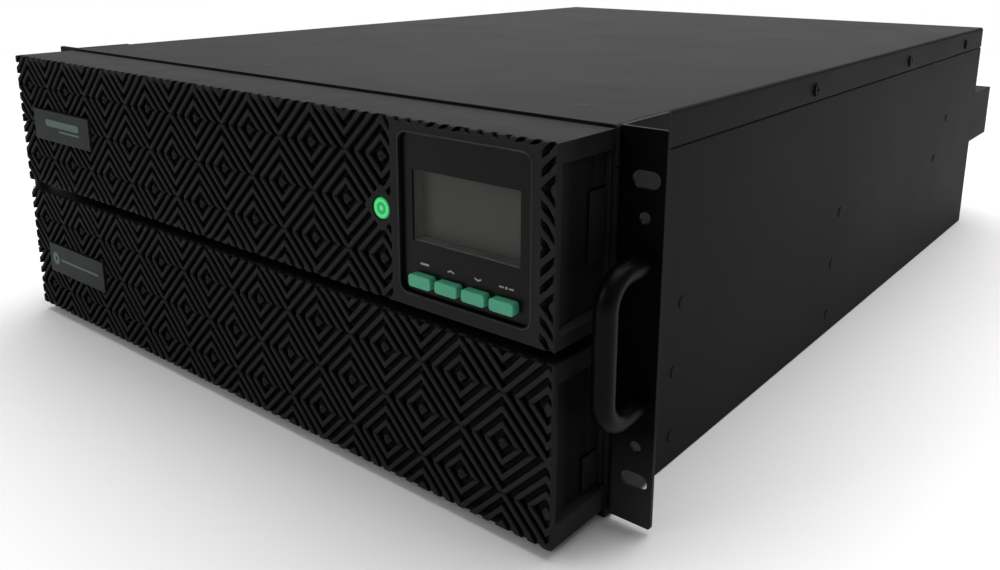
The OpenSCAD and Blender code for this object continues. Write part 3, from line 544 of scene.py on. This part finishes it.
class Shader:
    """A material under construction: a Principled surface and short ways to feed it."""

    def __init__(self, name):
        self.material = bpy.data.materials.new(name)
        self.material.use_nodes = True
        self.tree = self.material.node_tree
        self.surface = self.tree.nodes["Principled BSDF"]
        self.coords = self.tree.nodes.new("ShaderNodeTexCoord").outputs["Object"]

    def node(self, kind, **values):
        """A new node of the given kind, with its settings."""
        made = self.tree.nodes.new(kind)
        for key, value in values.items():
            setattr(made, key, value)
        return made

    def link(self, a, b):
        self.tree.links.new(a, b)

    def noise(self, scale, detail=3.0, roughness=0.55, stretch=(1, 1, 1), distortion=0.0):
        """Noise over the object, possibly stretched along an axis."""
        mapping = self.node("ShaderNodeMapping")
        mapping.inputs["Scale"].default_value = stretch
        self.link(self.coords, mapping.inputs["Vector"])
        noise = self.node("ShaderNodeTexNoise")
        noise.inputs["Scale"].default_value = scale
        noise.inputs["Detail"].default_value = detail
        noise.inputs["Roughness"].default_value = roughness
        noise.inputs["Distortion"].default_value = distortion
        self.link(mapping.outputs[0], noise.inputs["Vector"])
        return noise.outputs["Fac"]

    def remap(self, value, low, high, out_low, out_high):
        """The value moved from one range to another, and held inside it."""
        made = self.node("ShaderNodeMapRange")
        made.clamp = True
        self.link(value, made.inputs["Value"])
        numbers = {"From Min": low, "From Max": high, "To Min": out_low, "To Max": out_high}
        for key, number in numbers.items():
            made.inputs[key].default_value = number
        return made.outputs["Result"]

    def mix(self, factor, a, b):
        """Colour a where the factor is 0, and b where it is 1."""
        made = self.node("ShaderNodeMix", data_type="RGBA")
        for socket, value in ((made.inputs[0], factor), (made.inputs[6], a), (made.inputs[7], b)):
            if hasattr(value, "is_linked"):
                self.link(value, socket)
            else:
                socket.default_value = value
        return made.outputs[2]

    def math(self, operation, a, b=0.0):
        """Result of a sum on numbers or node outputs."""
        made = self.node("ShaderNodeMath", operation=operation)
        for socket, value in ((made.inputs[0], a), (made.inputs[1], b)):
            if hasattr(value, "is_linked"):
                self.link(value, socket)
            else:
                socket.default_value = value
        return made.outputs[0]

    def bump(self, height, distance, strength=1.0, base=None):
        """Normal that follows a height, on top of a base normal if there is one."""
        made = self.node("ShaderNodeBump")
        made.inputs["Distance"].default_value = distance
        made.inputs["Strength"].default_value = strength
        self.link(height, made.inputs["Height"])
        if base is not None:
            self.link(base, made.inputs["Normal"])
        return made.outputs["Normal"]

    def edge(self, radius):
        """1 on sharp edges and 0 on open faces, and the softened normal."""
        bevel = self.node("ShaderNodeBevel", samples=4)
        bevel.inputs["Radius"].default_value = radius
        geometry = self.node("ShaderNodeNewGeometry")
        dot = self.node("ShaderNodeVectorMath", operation="DOT_PRODUCT")
        self.link(bevel.outputs["Normal"], dot.inputs[0])
        self.link(geometry.outputs["True Normal"], dot.inputs[1])
        return self.remap(dot.outputs["Value"], 0.995, 0.8, 0.0, 1.0), bevel.outputs["Normal"]

    def part(self, vector, axis):
        """One component of a vector: 0 is X, 1 is Y and 2 is Z."""
        made = self.node("ShaderNodeSeparateXYZ")
        self.link(vector, made.inputs[0])
        return made.outputs[axis]

    def along(self, axis, start, stop, low, high):
        """A value that goes from low to high along one axis of the object."""
        return self.remap(self.part(self.coords, axis), start, stop, low, high)

    def sideways(self):
        """1 on faces that look to the left or right, 0 on faces that look elsewhere."""
        geometry = self.node("ShaderNodeNewGeometry")
        across = self.math("ABSOLUTE", self.part(geometry.outputs["Normal"], 0))
        return self.remap(across, 0.5, 0.95, 0.0, 1.0)

    def slanted(self):
        """1 on faces that look neither straight up nor straight to a side, 0 on those that do."""
        geometry = self.node("ShaderNodeNewGeometry")
        normal = geometry.outputs["True Normal"]
        straight = self.math("MAXIMUM", self.math("ABSOLUTE", self.part(normal, 0)),
                             self.math("ABSOLUTE", self.part(normal, 2)))
        return self.remap(straight, 0.9, 0.97, 1.0, 0.0)

    def open_to_air(self, reach):
        """1 on open faces, 0 deep in grooves and corners."""
        made = self.node("ShaderNodeAmbientOcclusion", samples=6)
        made.inputs["Distance"].default_value = reach
        return self.remap(made.outputs["AO"], 0.32, 0.84, 0.0, 1.0)

    def set(self, **sockets):
        """Feeds the surface's sockets with numbers, colours or node outputs."""
        names = {"colour": "Base Color", "rough": "Roughness", "metal": "Metallic", "normal": "Normal",
                 "coat": "Coat Weight", "coat_rough": "Coat Roughness", "specular": "Specular IOR Level",
                 "glow": "Emission Color", "glow_strength": "Emission Strength"}
        for key, value in sockets.items():
            socket = self.surface.inputs[names[key]]
            if hasattr(value, "is_linked"):
                self.link(value, socket)
            else:
                socket.default_value = value


def shaded(shader, colour, amount, scale):
    """The colour with soft patches that are a little lighter and darker."""
    patches = shader.noise(scale, detail=4.0)
    dark = [c * (1 - amount) for c in colour[:3]] + [1.0]
    light = [c * (1 + amount) for c in colour[:3]] + [1.0]
    return shader.mix(shader.remap(patches, 0.3, 0.7, 0.0, 1.0), dark, light)


def powder_coat(name, hex_colour, rough=0.5, grain=0.00008, wear_and_highlight=0.35, specular=0.3, painted_light_below=0.0):
    """Fine-textured powder coat on steel, a little worn along its edges, with a painted highlight there as
    well;
    it may grow paler from a height down to the object's foot, as painted light thrown up from the floor."""
    s = Shader(name)
    colour = linear(hex_colour)
    body = shaded(s, colour, 0.06, 9.0)
    # Painted light thrown up from the floor: paler from the given height down to the foot
    if painted_light_below:
        body = s.mix(s.along(2, 0.0, painted_light_below, 1.0, 0.0), body, (0.034, 0.034, 0.035, 1))
    edge, soft = s.edge(0.5 * MM)
    scuffs = s.noise(220.0, detail=5.0, roughness=0.7)
    # Edges lighter where worn and with a painted highlight, broken up by scuffs
    rub_and_highlight = s.math("MULTIPLY", edge, s.remap(scuffs, 0.35, 0.65, 0.3 * wear_and_highlight, wear_and_highlight))
    rubbed_and_lit_colour = [min(c * 2.6 + 0.012, 1.0) for c in colour[:3]] + [1.0]
    orange_peel = s.noise(900.0, detail=2.0)
    speckle = s.noise(3200.0, detail=1.0)
    height = s.math("ADD", orange_peel, s.math("MULTIPLY", speckle, 0.5))
    handled = s.noise(14.0, detail=6.0, roughness=0.65, distortion=0.6)
    s.set(colour=s.mix(rub_and_highlight, body, rubbed_and_lit_colour),
          rough=s.remap(handled, 0.3, 0.75, rough - 0.03, rough + 0.03),
          specular=specular, normal=s.bump(height, grain, 0.6, soft))
    return s.material


def moulded(name, hex_colour, rough=0.45, grain=0.00006, specular=0.45, painted_edge_highlight=0.25, painted_hollow_shade=False,
            painted_side_shade_box=None):
    """Spark-eroded moulded plastic: very fine even grain and a painted highlight along its edges. It may
    carry painted shade in its grooves and recesses, and on its left and right sides from the front of a box
    towards the rear and in the grooves that end along the box's top edge."""
    s = Shader(name)
    colour = linear(hex_colour)
    body = shaded(s, colour, 0.07, 16.0)
    # The colour of the painted shade used below
    deep = [c * 0.08 for c in colour[:3]] + [1.0]
    # Painted shade in grooves and recesses that the open air barely reaches
    if painted_hollow_shade:
        body = s.mix(s.open_to_air(9 * MM), deep, body)
    if painted_side_shade_box is not None:
        front, half_w = painted_side_shade_box[0][1], painted_side_shade_box[1][0]
        # Painted shade on faces that look left or right, growing from the front towards the rear, where the
        # rack ears keep light off
        side_shade = s.math("MULTIPLY", s.sideways(), s.along(1, front, front + 14 * MM, 0.25, 0.8))
        # The outermost faces near the foot get less of the painted shade
        across = s.math("ABSOLUTE", s.part(s.coords, 0))
        outermost = s.remap(across, half_w - 0.5 * MM, half_w - 0.1 * MM, 0.0, 1.0)
        light = s.math("MULTIPLY", outermost, s.along(2, 0.0, 0.09, 1.0, 0.2))
        side_shade = s.math("MULTIPLY", side_shade, s.math("SUBTRACT", 1.0, light))
        body = s.mix(side_shade, body, deep)
        # Painted shade in the grooves' ends along the top edge, whichever way they lean
        top = painted_side_shade_box[1][2]
        groove_end_shade = s.math("MULTIPLY", s.along(1, front + 0.9 * MM, front + 1.3 * MM, 0.0, 1.0),
                       s.along(2, top - 2.8 * MM, top - 1.8 * MM, 0.0, 0.9))
        body = s.mix(s.math("MULTIPLY", groove_end_shade, s.slanted()), body, deep)
    # A painted highlight along the edges
    edge, soft = s.edge(0.3 * MM)
    pale = [min(c * 1.8 + 0.006, 1.0) for c in colour[:3]] + [1.0]
    grain_height = s.noise(2600.0, detail=2.0)
    flow = s.noise(60.0, detail=4.0, stretch=(1, 1, 0.3))
    s.set(colour=s.mix(s.math("MULTIPLY", edge, painted_edge_highlight), body, pale),
          rough=s.remap(flow, 0.3, 0.7, rough - 0.03, rough + 0.03),
          specular=specular, normal=s.bump(grain_height, grain, 0.5, soft))
    return s.material


def gloss(name, hex_colour, rough=0.12, smudge=0.12, coat=0.3, specular=0.5):
    """Polished plastic with faint finger smudges."""
    s = Shader(name)
    body = shaded(s, linear(hex_colour), 0.06, 20.0)
    smudges = s.noise(38.0, detail=5.0, roughness=0.6, distortion=1.2)
    ripple = s.noise(18.0, detail=1.0)
    _, soft = s.edge(0.3 * MM)
    s.set(colour=body, rough=s.remap(smudges, 0.45, 0.8, rough, rough + smudge),
          coat=coat, coat_rough=0.06, specular=specular, normal=s.bump(ripple, 0.00003, 0.4, soft))
    return s.material


def sheet_metal(name, hex_colour, rough=0.34, stretch=(1, 24, 1)):
    """Bare or plated metal with the fine lines of rolling."""
    s = Shader(name)
    colour = linear(hex_colour)
    lines = s.noise(420.0, detail=3.0, stretch=stretch)
    spangle = s.noise(70.0, detail=2.0, roughness=0.4, distortion=0.8)
    body = s.mix(s.remap(spangle, 0.35, 0.65, 0.0, 0.5), colour, [c * 0.72 for c in colour[:3]] + [1.0])
    _, soft = s.edge(0.25 * MM)
    s.set(colour=body, metal=0.95, rough=s.remap(lines, 0.25, 0.75, rough - 0.08, rough + 0.12),
          normal=s.bump(lines, 0.00002, 0.5, soft))
    return s.material


def circuit_board(name, hex_colour):
    """Solder mask over a faint pattern of tracks and pads."""
    s = Shader(name)
    colour = linear(hex_colour)
    brick = s.node("ShaderNodeTexBrick")
    brick.inputs["Scale"].default_value = 180.0
    brick.inputs["Mortar Size"].default_value = 0.06
    brick.inputs["Color1"].default_value = (0, 0, 0, 1)
    brick.inputs["Color2"].default_value = (0.25, 0.25, 0.25, 1)
    brick.inputs["Mortar"].default_value = (1, 1, 1, 1)
    s.link(s.coords, brick.inputs["Vector"])
    broken = s.math("MULTIPLY", brick.outputs["Color"], s.remap(s.noise(55.0), 0.45, 0.55, 0.0, 1.0))
    light = [min(c * 1.9 + 0.01, 1.0) for c in colour[:3]] + [1.0]
    s.set(colour=s.mix(s.math("MULTIPLY", broken, 0.8), colour, light), rough=0.28, coat=0.4,
          normal=s.bump(broken, 0.00005, 0.7))
    return s.material


def winding(name, hex_colour):
    """Enamelled wire wound round a core."""
    s = Shader(name)
    wave = s.node("ShaderNodeTexWave", wave_type="RINGS", rings_direction="Z")
    wave.inputs["Scale"].default_value = 90.0
    wave.inputs["Distortion"].default_value = 3.0
    s.link(s.coords, wave.inputs["Vector"])
    colour = linear(hex_colour)
    s.set(colour=s.mix(wave.outputs["Fac"], [c * 0.35 for c in colour[:3]] + [1.0], colour), metal=0.6,
          rough=0.3, coat=0.5, normal=s.bump(wave.outputs["Fac"], 0.0006, 0.8))
    return s.material


def clear_lens(name):
    """Thin clear lens: mostly see-through, with a soft reflection and faint smudges."""
    s = Shader(name)
    s.tree.nodes.remove(s.surface)
    output = s.tree.nodes["Material Output"]
    through = s.node("ShaderNodeBsdfTransparent")
    through.inputs["Color"].default_value = (0.88, 0.88, 0.87, 1)
    shine = s.node("ShaderNodeBsdfGlossy")
    shine.inputs["Color"].default_value = (1, 1, 1, 1)
    smudges = s.noise(30.0, detail=5.0, distortion=1.0)
    s.link(s.remap(smudges, 0.4, 0.8, 0.04, 0.16), shine.inputs["Roughness"])
    fresnel = s.node("ShaderNodeFresnel")
    fresnel.inputs["IOR"].default_value = 1.12
    mixer = s.node("ShaderNodeMixShader")
    s.link(fresnel.outputs[0], mixer.inputs[0])
    s.link(through.outputs[0], mixer.inputs[1])
    s.link(shine.outputs[0], mixer.inputs[2])
    s.link(mixer.outputs[0], output.inputs["Surface"])
    return s.material


def lcd_glass(name):
    """Unlit display: grey film with a hair-fine cell grid."""
    s = Shader(name)
    checker = s.node("ShaderNodeTexChecker")
    checker.inputs["Scale"].default_value = 1.0 / (0.8 * MM)
    s.link(s.coords, checker.inputs["Vector"])
    film = shaded(s, linear("#4f4f4c"), 0.03, 30.0)
    s.set(colour=s.mix(s.math("MULTIPLY", checker.outputs["Fac"], 0.01), film, linear("#3c3d3b")),
          rough=0.5, specular=0.2)
    return s.material


def glowing(name, hex_colour, strength, radius):
    """Lit lens: a bright ring and a bright middle in frosted plastic, round the status light's centre."""
    s = Shader(name)
    colour = linear(hex_colour)
    frost = s.noise(900.0, detail=2.0)
    box_lo, box_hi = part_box("status_light")
    flat = s.node("ShaderNodeVectorMath", operation="MULTIPLY")
    flat.inputs[1].default_value = (1, 0, 1)
    s.link(s.coords, flat.inputs[0])
    away = s.node("ShaderNodeVectorMath", operation="DISTANCE")
    away.inputs[1].default_value = ((box_lo[0] + box_hi[0]) / 2, 0, (box_lo[2] + box_hi[2]) / 2)
    s.link(flat.outputs[0], away.inputs[0])
    share = s.math("DIVIDE", away.outputs["Value"], radius)
    middle = s.remap(share, 0.18, 0.34, 1.0, 0.0)
    ring = s.math("MULTIPLY", s.remap(share, 0.5, 0.62, 0.0, 1.0), s.remap(share, 0.8, 0.95, 1.0, 0.0))
    lit = s.math("MAXIMUM", s.math("MAXIMUM", middle, ring), 0.22)
    s.set(colour=[c * 0.3 for c in colour[:3]] + [1.0], rough=0.35, glow=colour,
          glow_strength=s.math("MULTIPLY", lit, strength), normal=s.bump(frost, 0.00004, 0.4))
    return s.material


def print_ink(name, hex_colour, rough=0.5):
    """Screen-printed ink with slightly uneven cover."""
    s = Shader(name)
    colour = linear(hex_colour)
    cover = s.noise(700.0, detail=4.0)
    s.set(colour=s.mix(s.remap(cover, 0.25, 0.5, 0.0, 1.0), [c * 0.7 for c in colour[:3]] + [1.0], colour),
          rough=rough, normal=s.bump(cover, 0.00002, 0.5))
    return s.material


MATERIALS = {
    "steel_black": powder_coat("steel_black", "#1d1d1e", rough=0.55, specular=0.025),
    "steel_cover": powder_coat("steel_cover", "#1b1b1a", rough=0.55, specular=0.035),
    "ear_black": powder_coat("ear_black", "#040406", rough=0.45, wear_and_highlight=0.12, specular=0.04,
                             painted_light_below=0.05),
    "handle_black": powder_coat("handle_black", "#050505", rough=0.34, grain=0.00004, wear_and_highlight=0.1,
                                specular=0.06),
    "screw_black": powder_coat("screw_black", "#0f0f0f", rough=0.5, specular=0.04),
    "zinc_steel": sheet_metal("zinc_steel", "#9a9c9d"),
    "bezel_plastic": moulded("bezel_plastic", "#262626", rough=0.5, specular=0.015, painted_hollow_shade=True,
                             painted_side_shade_box=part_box("upper_bezel")),
    # A lighter copy of the bezel's plastic: a painted highlight on the display bead
    "bead_painted_highlight": moulded("bead_painted_highlight", "#333333", rough=0.42, specular=0.1),
    "badge_plastic": moulded("badge_plastic", "#1a1e1c", rough=0.45, specular=0.06),
    "latch_plastic": moulded("latch_plastic", "#141415", rough=0.45, specular=0.03, painted_hollow_shade=True),
    "battery_case": moulded("battery_case", "#3b3f46", rough=0.45),
    "plug_red": moulded("plug_red", "#b3392c", rough=0.4),
    "key_teal": moulded("key_teal", "#459a79", rough=0.38, specular=0.25, painted_edge_highlight=0.4),
    "relay_shell": moulded("relay_shell", "#d8d9d4", rough=0.4),
    "fan_black": moulded("fan_black", "#1b1b1b", rough=0.4),
    "gland_black": moulded("gland_black", "#161616", rough=0.35),
    "socket_black": moulded("socket_black", "#181818", rough=0.38),
    "socket_grey": moulded("socket_grey", "#5c6064", rough=0.42),
    "ribbon_grey": moulded("ribbon_grey", "#a7a9a8", rough=0.5),
    "toggle_white": gloss("toggle_white", "#d9d9d4", rough=0.25),
    "panel_gloss": gloss("panel_gloss", "#080807", rough=0.3, smudge=0.05, coat=0.0, specular=0.1),
    "capacitor_sleeve": gloss("capacitor_sleeve", "#27344f", rough=0.22),
    "filter_yellow": gloss("filter_yellow", "#c9b23c", rough=0.25),
    "board_green": circuit_board("board_green", "#1d6b3a"),
    "board_blue": circuit_board("board_blue", "#21456f"),
    "coil_copper": winding("coil_copper", "#b5752e"),
    "brass_post": sheet_metal("brass_post", "#c8b060", rough=0.25, stretch=(1, 1, 8)),
    "heatsink_alu": sheet_metal("heatsink_alu", "#b9bcc0", rough=0.38),
    "guard_wire": sheet_metal("guard_wire", "#b8babc", rough=0.18, stretch=(1, 1, 1)),
    "port_metal": sheet_metal("port_metal", "#6d7072", rough=0.3),
    "window_clear": clear_lens("window_clear"),
    "lcd_grey": lcd_glass("lcd_grey"),
    "light_lens": glowing("light_lens", "#1fd06e", 0.9, 5.0 * MM),
    "ink_white": print_ink("ink_white", "#8b8d8b"),
    "ink_teal": print_ink("ink_teal", "#1d4636"),
    # Pale as painted light, for the light that shines through the frame round the screen
    "screen_frame": moulded("screen_frame", "#62625f", rough=0.5, specular=0.2),
}


def paint(obj, name):
    """Gives obj one of the materials above, in every material slot that it has."""
    material = MATERIALS[name]
    if not obj.data.materials:
        obj.data.materials.append(material)
    for entry in obj.material_slots:
        entry.material = material


# ---------- carried CAD pieces ----------

# Rounding of each piece's edges in millimetres: most are sheet or small mouldings
EDGE_MM = {
    "handle_left": 0.0, "handle_right": 0.0, "key_escape": 0.5, "key_up": 0.5, "key_down": 0.5,
    "key_enter": 0.5, "display_panel": 0.25, "display_window": 0.1, "ear_left": 0.3, "ear_right": 0.3,
    "upper_badge": 0.35, "lower_badge": 0.35, "battery_blocks_left": 1.5, "battery_blocks_right": 1.5,
    "relays": 0.8, "breaker_body": 0.6, "battery_socket": 0.8, "inductors": 0.0, "capacitor_bank": 1.5,
    "terminal_cover": 0.5, "fan_guards": 0.0, "breaker_toggle": 0.7,
}
USUAL_EDGE_MM = 0.3


def dress(name, obj):
    """Material and softened edges for a carried CAD node."""
    slot = next(part["material_slot"] for part in frame["record"]["subparts"] if part["node"] == name)
    paint(obj, slot)
    width = EDGE_MM.get(name, USUAL_EDGE_MM) * MM
    if not width:
        return
    weld = obj.modifiers.new("weld", "WELD")
    weld.merge_threshold = 0.001 * MM
    merge = obj.modifiers.new("merge", "DECIMATE")
    merge.decimate_type = "DISSOLVE"
    merge.angle_limit = math.radians(0.5)
    bevel = obj.modifiers.new("soft_edges", "BEVEL")
    bevel.width = width
    bevel.segments = 2 if width < 0.5 * MM else 4
    bevel.limit_method = "ANGLE"
    bevel.angle_limit = math.radians(38)
    bevel.harden_normals = True


for node_name, node_object in frame["nodes"].items():
    dress(node_name, node_object)


# ---------- the bezels ----------


def place(piece, material, body, *nodes):
    """Paints a new piece, fastens it to its body and lets it stand for CAD nodes, which it hides. Marks and
    small trims have materials of their own."""
    paint(piece, material)
    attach(piece, body)
    if nodes:
        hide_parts(*nodes)


upper = upper_bezel()
smooth(upper, 32)
place(upper, "bezel_plastic", "chassis", "upper_bezel")
lower = lower_bezel()
smooth(lower, 32)
place(lower, "bezel_plastic", "lower_bezel", "lower_bezel")


# ---------- small pieces on the front ----------

def screen_surround():
    """Frame lining the display's recess between the lens and the screen, pale as painted light."""
    lens_lo, lens_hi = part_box("display_window")
    screen_lo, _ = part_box("lcd_module")
    bm = bmesh.new()
    ring_prism(bm, lens_hi[0] - lens_lo[0], lens_hi[2] - lens_lo[2], 0.6 * MM, 0.3 * MM,
               lens_hi[1] + 0.05 * MM, screen_lo[1] - 0.05 * MM,
               (lens_lo[0] + lens_hi[0]) / 2, (lens_lo[2] + lens_hi[2]) / 2)
    bmesh.ops.recalc_face_normals(bm, faces=bm.faces)
    piece = new_object("screen_surround", bm)
    place(piece, "screen_frame", "chassis")


def display_bead():
    """Low bead with sloping sides round the display panel, in a lighter plastic as a painted highlight."""
    lo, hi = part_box("display_panel")
    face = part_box("upper_bezel")[0][1]
    width = 1.2 * MM
    w = hi[0] - lo[0] + PANEL_CLEARANCE + 2 * width
    bm = bmesh.new()
    ring_prism(bm, w, w, PANEL_RADIUS + width, width, face - 0.6 * MM, face + 0.2 * MM,
               (lo[0] + hi[0]) / 2, (lo[2] + hi[2]) / 2, -0.6 * MM)
    bmesh.ops.recalc_face_normals(bm, faces=bm.faces)
    piece = new_object("display_bead", bm)
    smooth(piece, 30)
    place(piece, "bead_painted_highlight", "chassis")


def mark(bm, outline, face_y, cx, cz):
    """Adds a raised printed shape to bm, 0.1 mm proud of a face that looks forward."""
    prism(bm, outline, face_y - 0.1 * MM, face_y + 0.05 * MM, cx, cz)


def bar_outline(w, h):
    """Points of a bar with round corners."""
    return rounded_outline(w, h, 0.3 * min(w, h), 3)


def chevron_outline(w, h, thick, way):
    """An arrowhead that points up (way 1) or down (way -1)."""
    points = [(-w / 2, -h / 2), (0, h / 2 - thick), (w / 2, -h / 2), (w / 2, -h / 2 + thick),
              (0, h / 2), (-w / 2, -h / 2 + thick)]
    return [(x, way * z) for x, z in points]


def key_marks():
    """A generic white mark over each key: a bar, an arrow up, an arrow down and a dot between bars."""
    face_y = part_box("display_panel")[0][1]
    bm = bmesh.new()
    for name in ("key_escape", "key_up", "key_down", "key_enter"):
        k_lo, k_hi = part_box(name)
        x, z = (k_lo[0] + k_hi[0]) / 2, k_hi[2] + 4.4 * MM
        if name == "key_escape":
            mark(bm, bar_outline(5 * MM, 0.9 * MM), face_y, x, z)
        elif name == "key_enter":
            mark(bm, bar_outline(1.2 * MM, 1.2 * MM), face_y, x, z)
            mark(bm, bar_outline(2.4 * MM, 0.7 * MM), face_y, x - 2.6 * MM, z)
            mark(bm, bar_outline(2.4 * MM, 0.7 * MM), face_y, x + 2.6 * MM, z)
        else:
            way = 1 if name == "key_up" else -1
            mark(bm, chevron_outline(3.6 * MM, 1.5 * MM, 0.7 * MM, way), face_y, x, z)
    bmesh.ops.recalc_face_normals(bm, faces=bm.faces)
    place(new_object("key_marks", bm), "ink_white", "chassis")


def badge_mark(name, badge, body, with_ring):
    """A generic teal mark on a name plate: two bars, or a small ring and a bar."""
    b_lo, b_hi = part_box(badge)
    x, z = (b_lo[0] + b_hi[0]) / 2, (b_lo[2] + b_hi[2]) / 2
    w, h = b_hi[0] - b_lo[0], b_hi[2] - b_lo[2]
    face_y = b_lo[1]
    bm = bmesh.new()
    if with_ring:
        ring_prism(bm, 0.42 * h, 0.42 * h, 0.209 * h, 0.14 * h, face_y - 0.1 * MM, face_y + 0.05 * MM,
                   x - 0.38 * w, z)
        mark(bm, bar_outline(0.68 * w, 0.07 * h), face_y, x + 0.06 * w, z)
    else:
        mark(bm, bar_outline(0.6 * w, 0.22 * h), face_y, x + 0.02 * w, z + 0.1 * h)
        mark(bm, bar_outline(0.36 * w, 0.06 * h), face_y, x + 0.14 * w, z - 0.12 * h)
    bmesh.ops.recalc_face_normals(bm, faces=bm.faces)
    place(new_object(name, bm), "ink_teal", body)


screen_surround()
display_bead()
key_marks()
badge_mark("upper_badge_mark", "upper_badge", "chassis", False)
badge_mark("lower_badge_mark", "lower_badge", "lower_bezel", True)


# ---------- stage ----------

def seen_directly(tree):
    """Output that is 1 for what the camera sees itself, and 0 for light that falls on things."""
    return tree.nodes.new("ShaderNodeLightPath").outputs["Is Camera Ray"]


def floor_paper():
    """White paper that fades into the white backdrop far from the object."""
    s = Shader("floor_paper")
    mottle = s.noise(3.0, detail=4.0)
    s.set(colour=s.mix(mottle, (0.86, 0.86, 0.86, 1), (0.9, 0.9, 0.9, 1)), rough=0.8, specular=0.1)
    length = s.node("ShaderNodeVectorMath", operation="LENGTH")
    s.link(s.coords, length.inputs[0])
    far = s.remap(length.outputs["Value"], 0.45, 1.9, 0.0, 1.0)
    backdrop = s.node("ShaderNodeEmission")
    mixer = s.node("ShaderNodeMixShader")
    s.link(s.math("MULTIPLY", far, seen_directly(s.tree)), mixer.inputs[0])
    s.link(s.surface.outputs[0], mixer.inputs[1])
    s.link(backdrop.outputs[0], mixer.inputs[2])
    s.link(mixer.outputs[0], s.tree.nodes["Material Output"].inputs["Surface"])
    return s.material


FLOOR_RADIUS = 12.0
FLOOR_SIDES = 64


def studio():
    """Round pale floor, centred under the object."""
    bm = bmesh.new()
    rim = []
    for i in range(FLOOR_SIDES):
        a = math.radians(360 * i / FLOOR_SIDES)
        rim.append(bm.verts.new((FLOOR_RADIUS * math.cos(a), FLOOR_RADIUS * math.sin(a), 0)))
    bm.faces.new(rim)
    floor = new_object("floor", bm)
    floor.location = (0, 0.3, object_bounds()[0][2] - 0.0005)
    floor.data.materials.append(floor_paper())


def area_light(name, place_at, target, size, power):
    """Rectangular light at a place, turned to a target."""
    data = bpy.data.lights.new(name, "AREA")
    data.shape = "RECTANGLE"
    data.size, data.size_y = size
    data.energy = power
    lamp = bpy.data.objects.new(name, data)
    lamp.location = place_at
    lamp.rotation_euler = (Vector(target) - Vector(place_at)).to_track_quat("-Z", "Y").to_euler()
    lamp.visible_camera = False
    bpy.context.scene.collection.objects.link(lamp)


def lights():
    """Soft light from above, weak ones from the front and right, and a low wide one behind."""
    area_light("overhead", (-0.2, 1.2, 2.6), (0, 0.5, 0), (4.0, 4.0), 150)
    area_light("front_fill", (-1.4, -2.2, 1.6), (0, 0, 0.1), (1.6, 1.6), 24)
    area_light("right_fill", (2.6, 0.2, 0.8), (0.2, 0.3, 0.1), (1.6, 1.6), 2.4)
    area_light("rear_sweep", (-2.4, 3.0, 1.2), (0, 0.3, 0.1), (6.0, 2.4), 37)
    world = bpy.data.worlds.new("studio_world")
    world.use_nodes = True
    tree = world.node_tree
    background = tree.nodes["Background"]
    background.inputs["Color"].default_value = (1, 1, 1, 1)
    strength = tree.nodes.new("ShaderNodeMapRange")
    strength.inputs["To Min"].default_value = 0.2
    strength.inputs["To Max"].default_value = 1.0
    tree.links.new(seen_directly(tree), strength.inputs["Value"])
    tree.links.new(strength.outputs["Result"], background.inputs["Strength"])
    bpy.context.scene.world = world
    bpy.context.scene.view_settings.view_transform = "Standard"


# Degrees, metres, and a lens in millimetres on a 36 mm wide frame
CAMERA_AZIMUTH = 39.39
CAMERA_ELEVATION = 13.93
CAMERA_ROLL = 0.13
CAMERA_PLACE = (0.41297, -0.31609, 0.24648)
LENS = 33.51
SHIFT = (0.0047, -0.1081)


def shift_only_at(camera, marker, axis, value):
    """Shifts the lens only while the camera stands at the marker, so that other views stay centred."""
    curve = camera.data.driver_add(axis)
    driver = curve.driver
    driver.type = "SUM"
    variable = driver.variables.new()
    variable.type = "LOC_DIFF"
    variable.targets[0].id = camera
    variable.targets[1].id = marker
    for modifier in list(curve.modifiers):
        curve.modifiers.remove(modifier)
    for point in list(curve.keyframe_points):
        curve.keyframe_points.remove(point)
    for distance, shift in ((0.0, value), (0.05, 0.0)):
        key = curve.keyframe_points.insert(distance, shift)
        key.interpolation = "LINEAR"
    curve.extrapolation = "CONSTANT"


def make_camera():
    """Camera at the viewing angle of the main picture."""
    data = bpy.data.cameras.new("camera")
    data.sensor_width = 36.0
    data.lens = LENS
    data.clip_start = 0.01
    data.clip_end = 50.0
    camera = bpy.data.objects.new("camera", data)
    camera.location = CAMERA_PLACE
    turn = Matrix.Rotation(math.radians(CAMERA_AZIMUTH), 3, "Z")
    tilt = Matrix.Rotation(math.radians(90 - CAMERA_ELEVATION), 3, "X")
    roll = Matrix.Rotation(math.radians(CAMERA_ROLL), 3, "Z")
    camera.rotation_euler = (turn @ tilt @ roll).to_euler()
    bpy.context.scene.collection.objects.link(camera)
    marker = bpy.data.objects.new("camera_marker", None)
    marker.location = CAMERA_PLACE
    bpy.context.scene.collection.objects.link(marker)
    shift_only_at(camera, marker, "shift_x", SHIFT[0])
    shift_only_at(camera, marker, "shift_y", SHIFT[1])
    bpy.context.scene.camera = camera


studio()
lights()
make_camera()
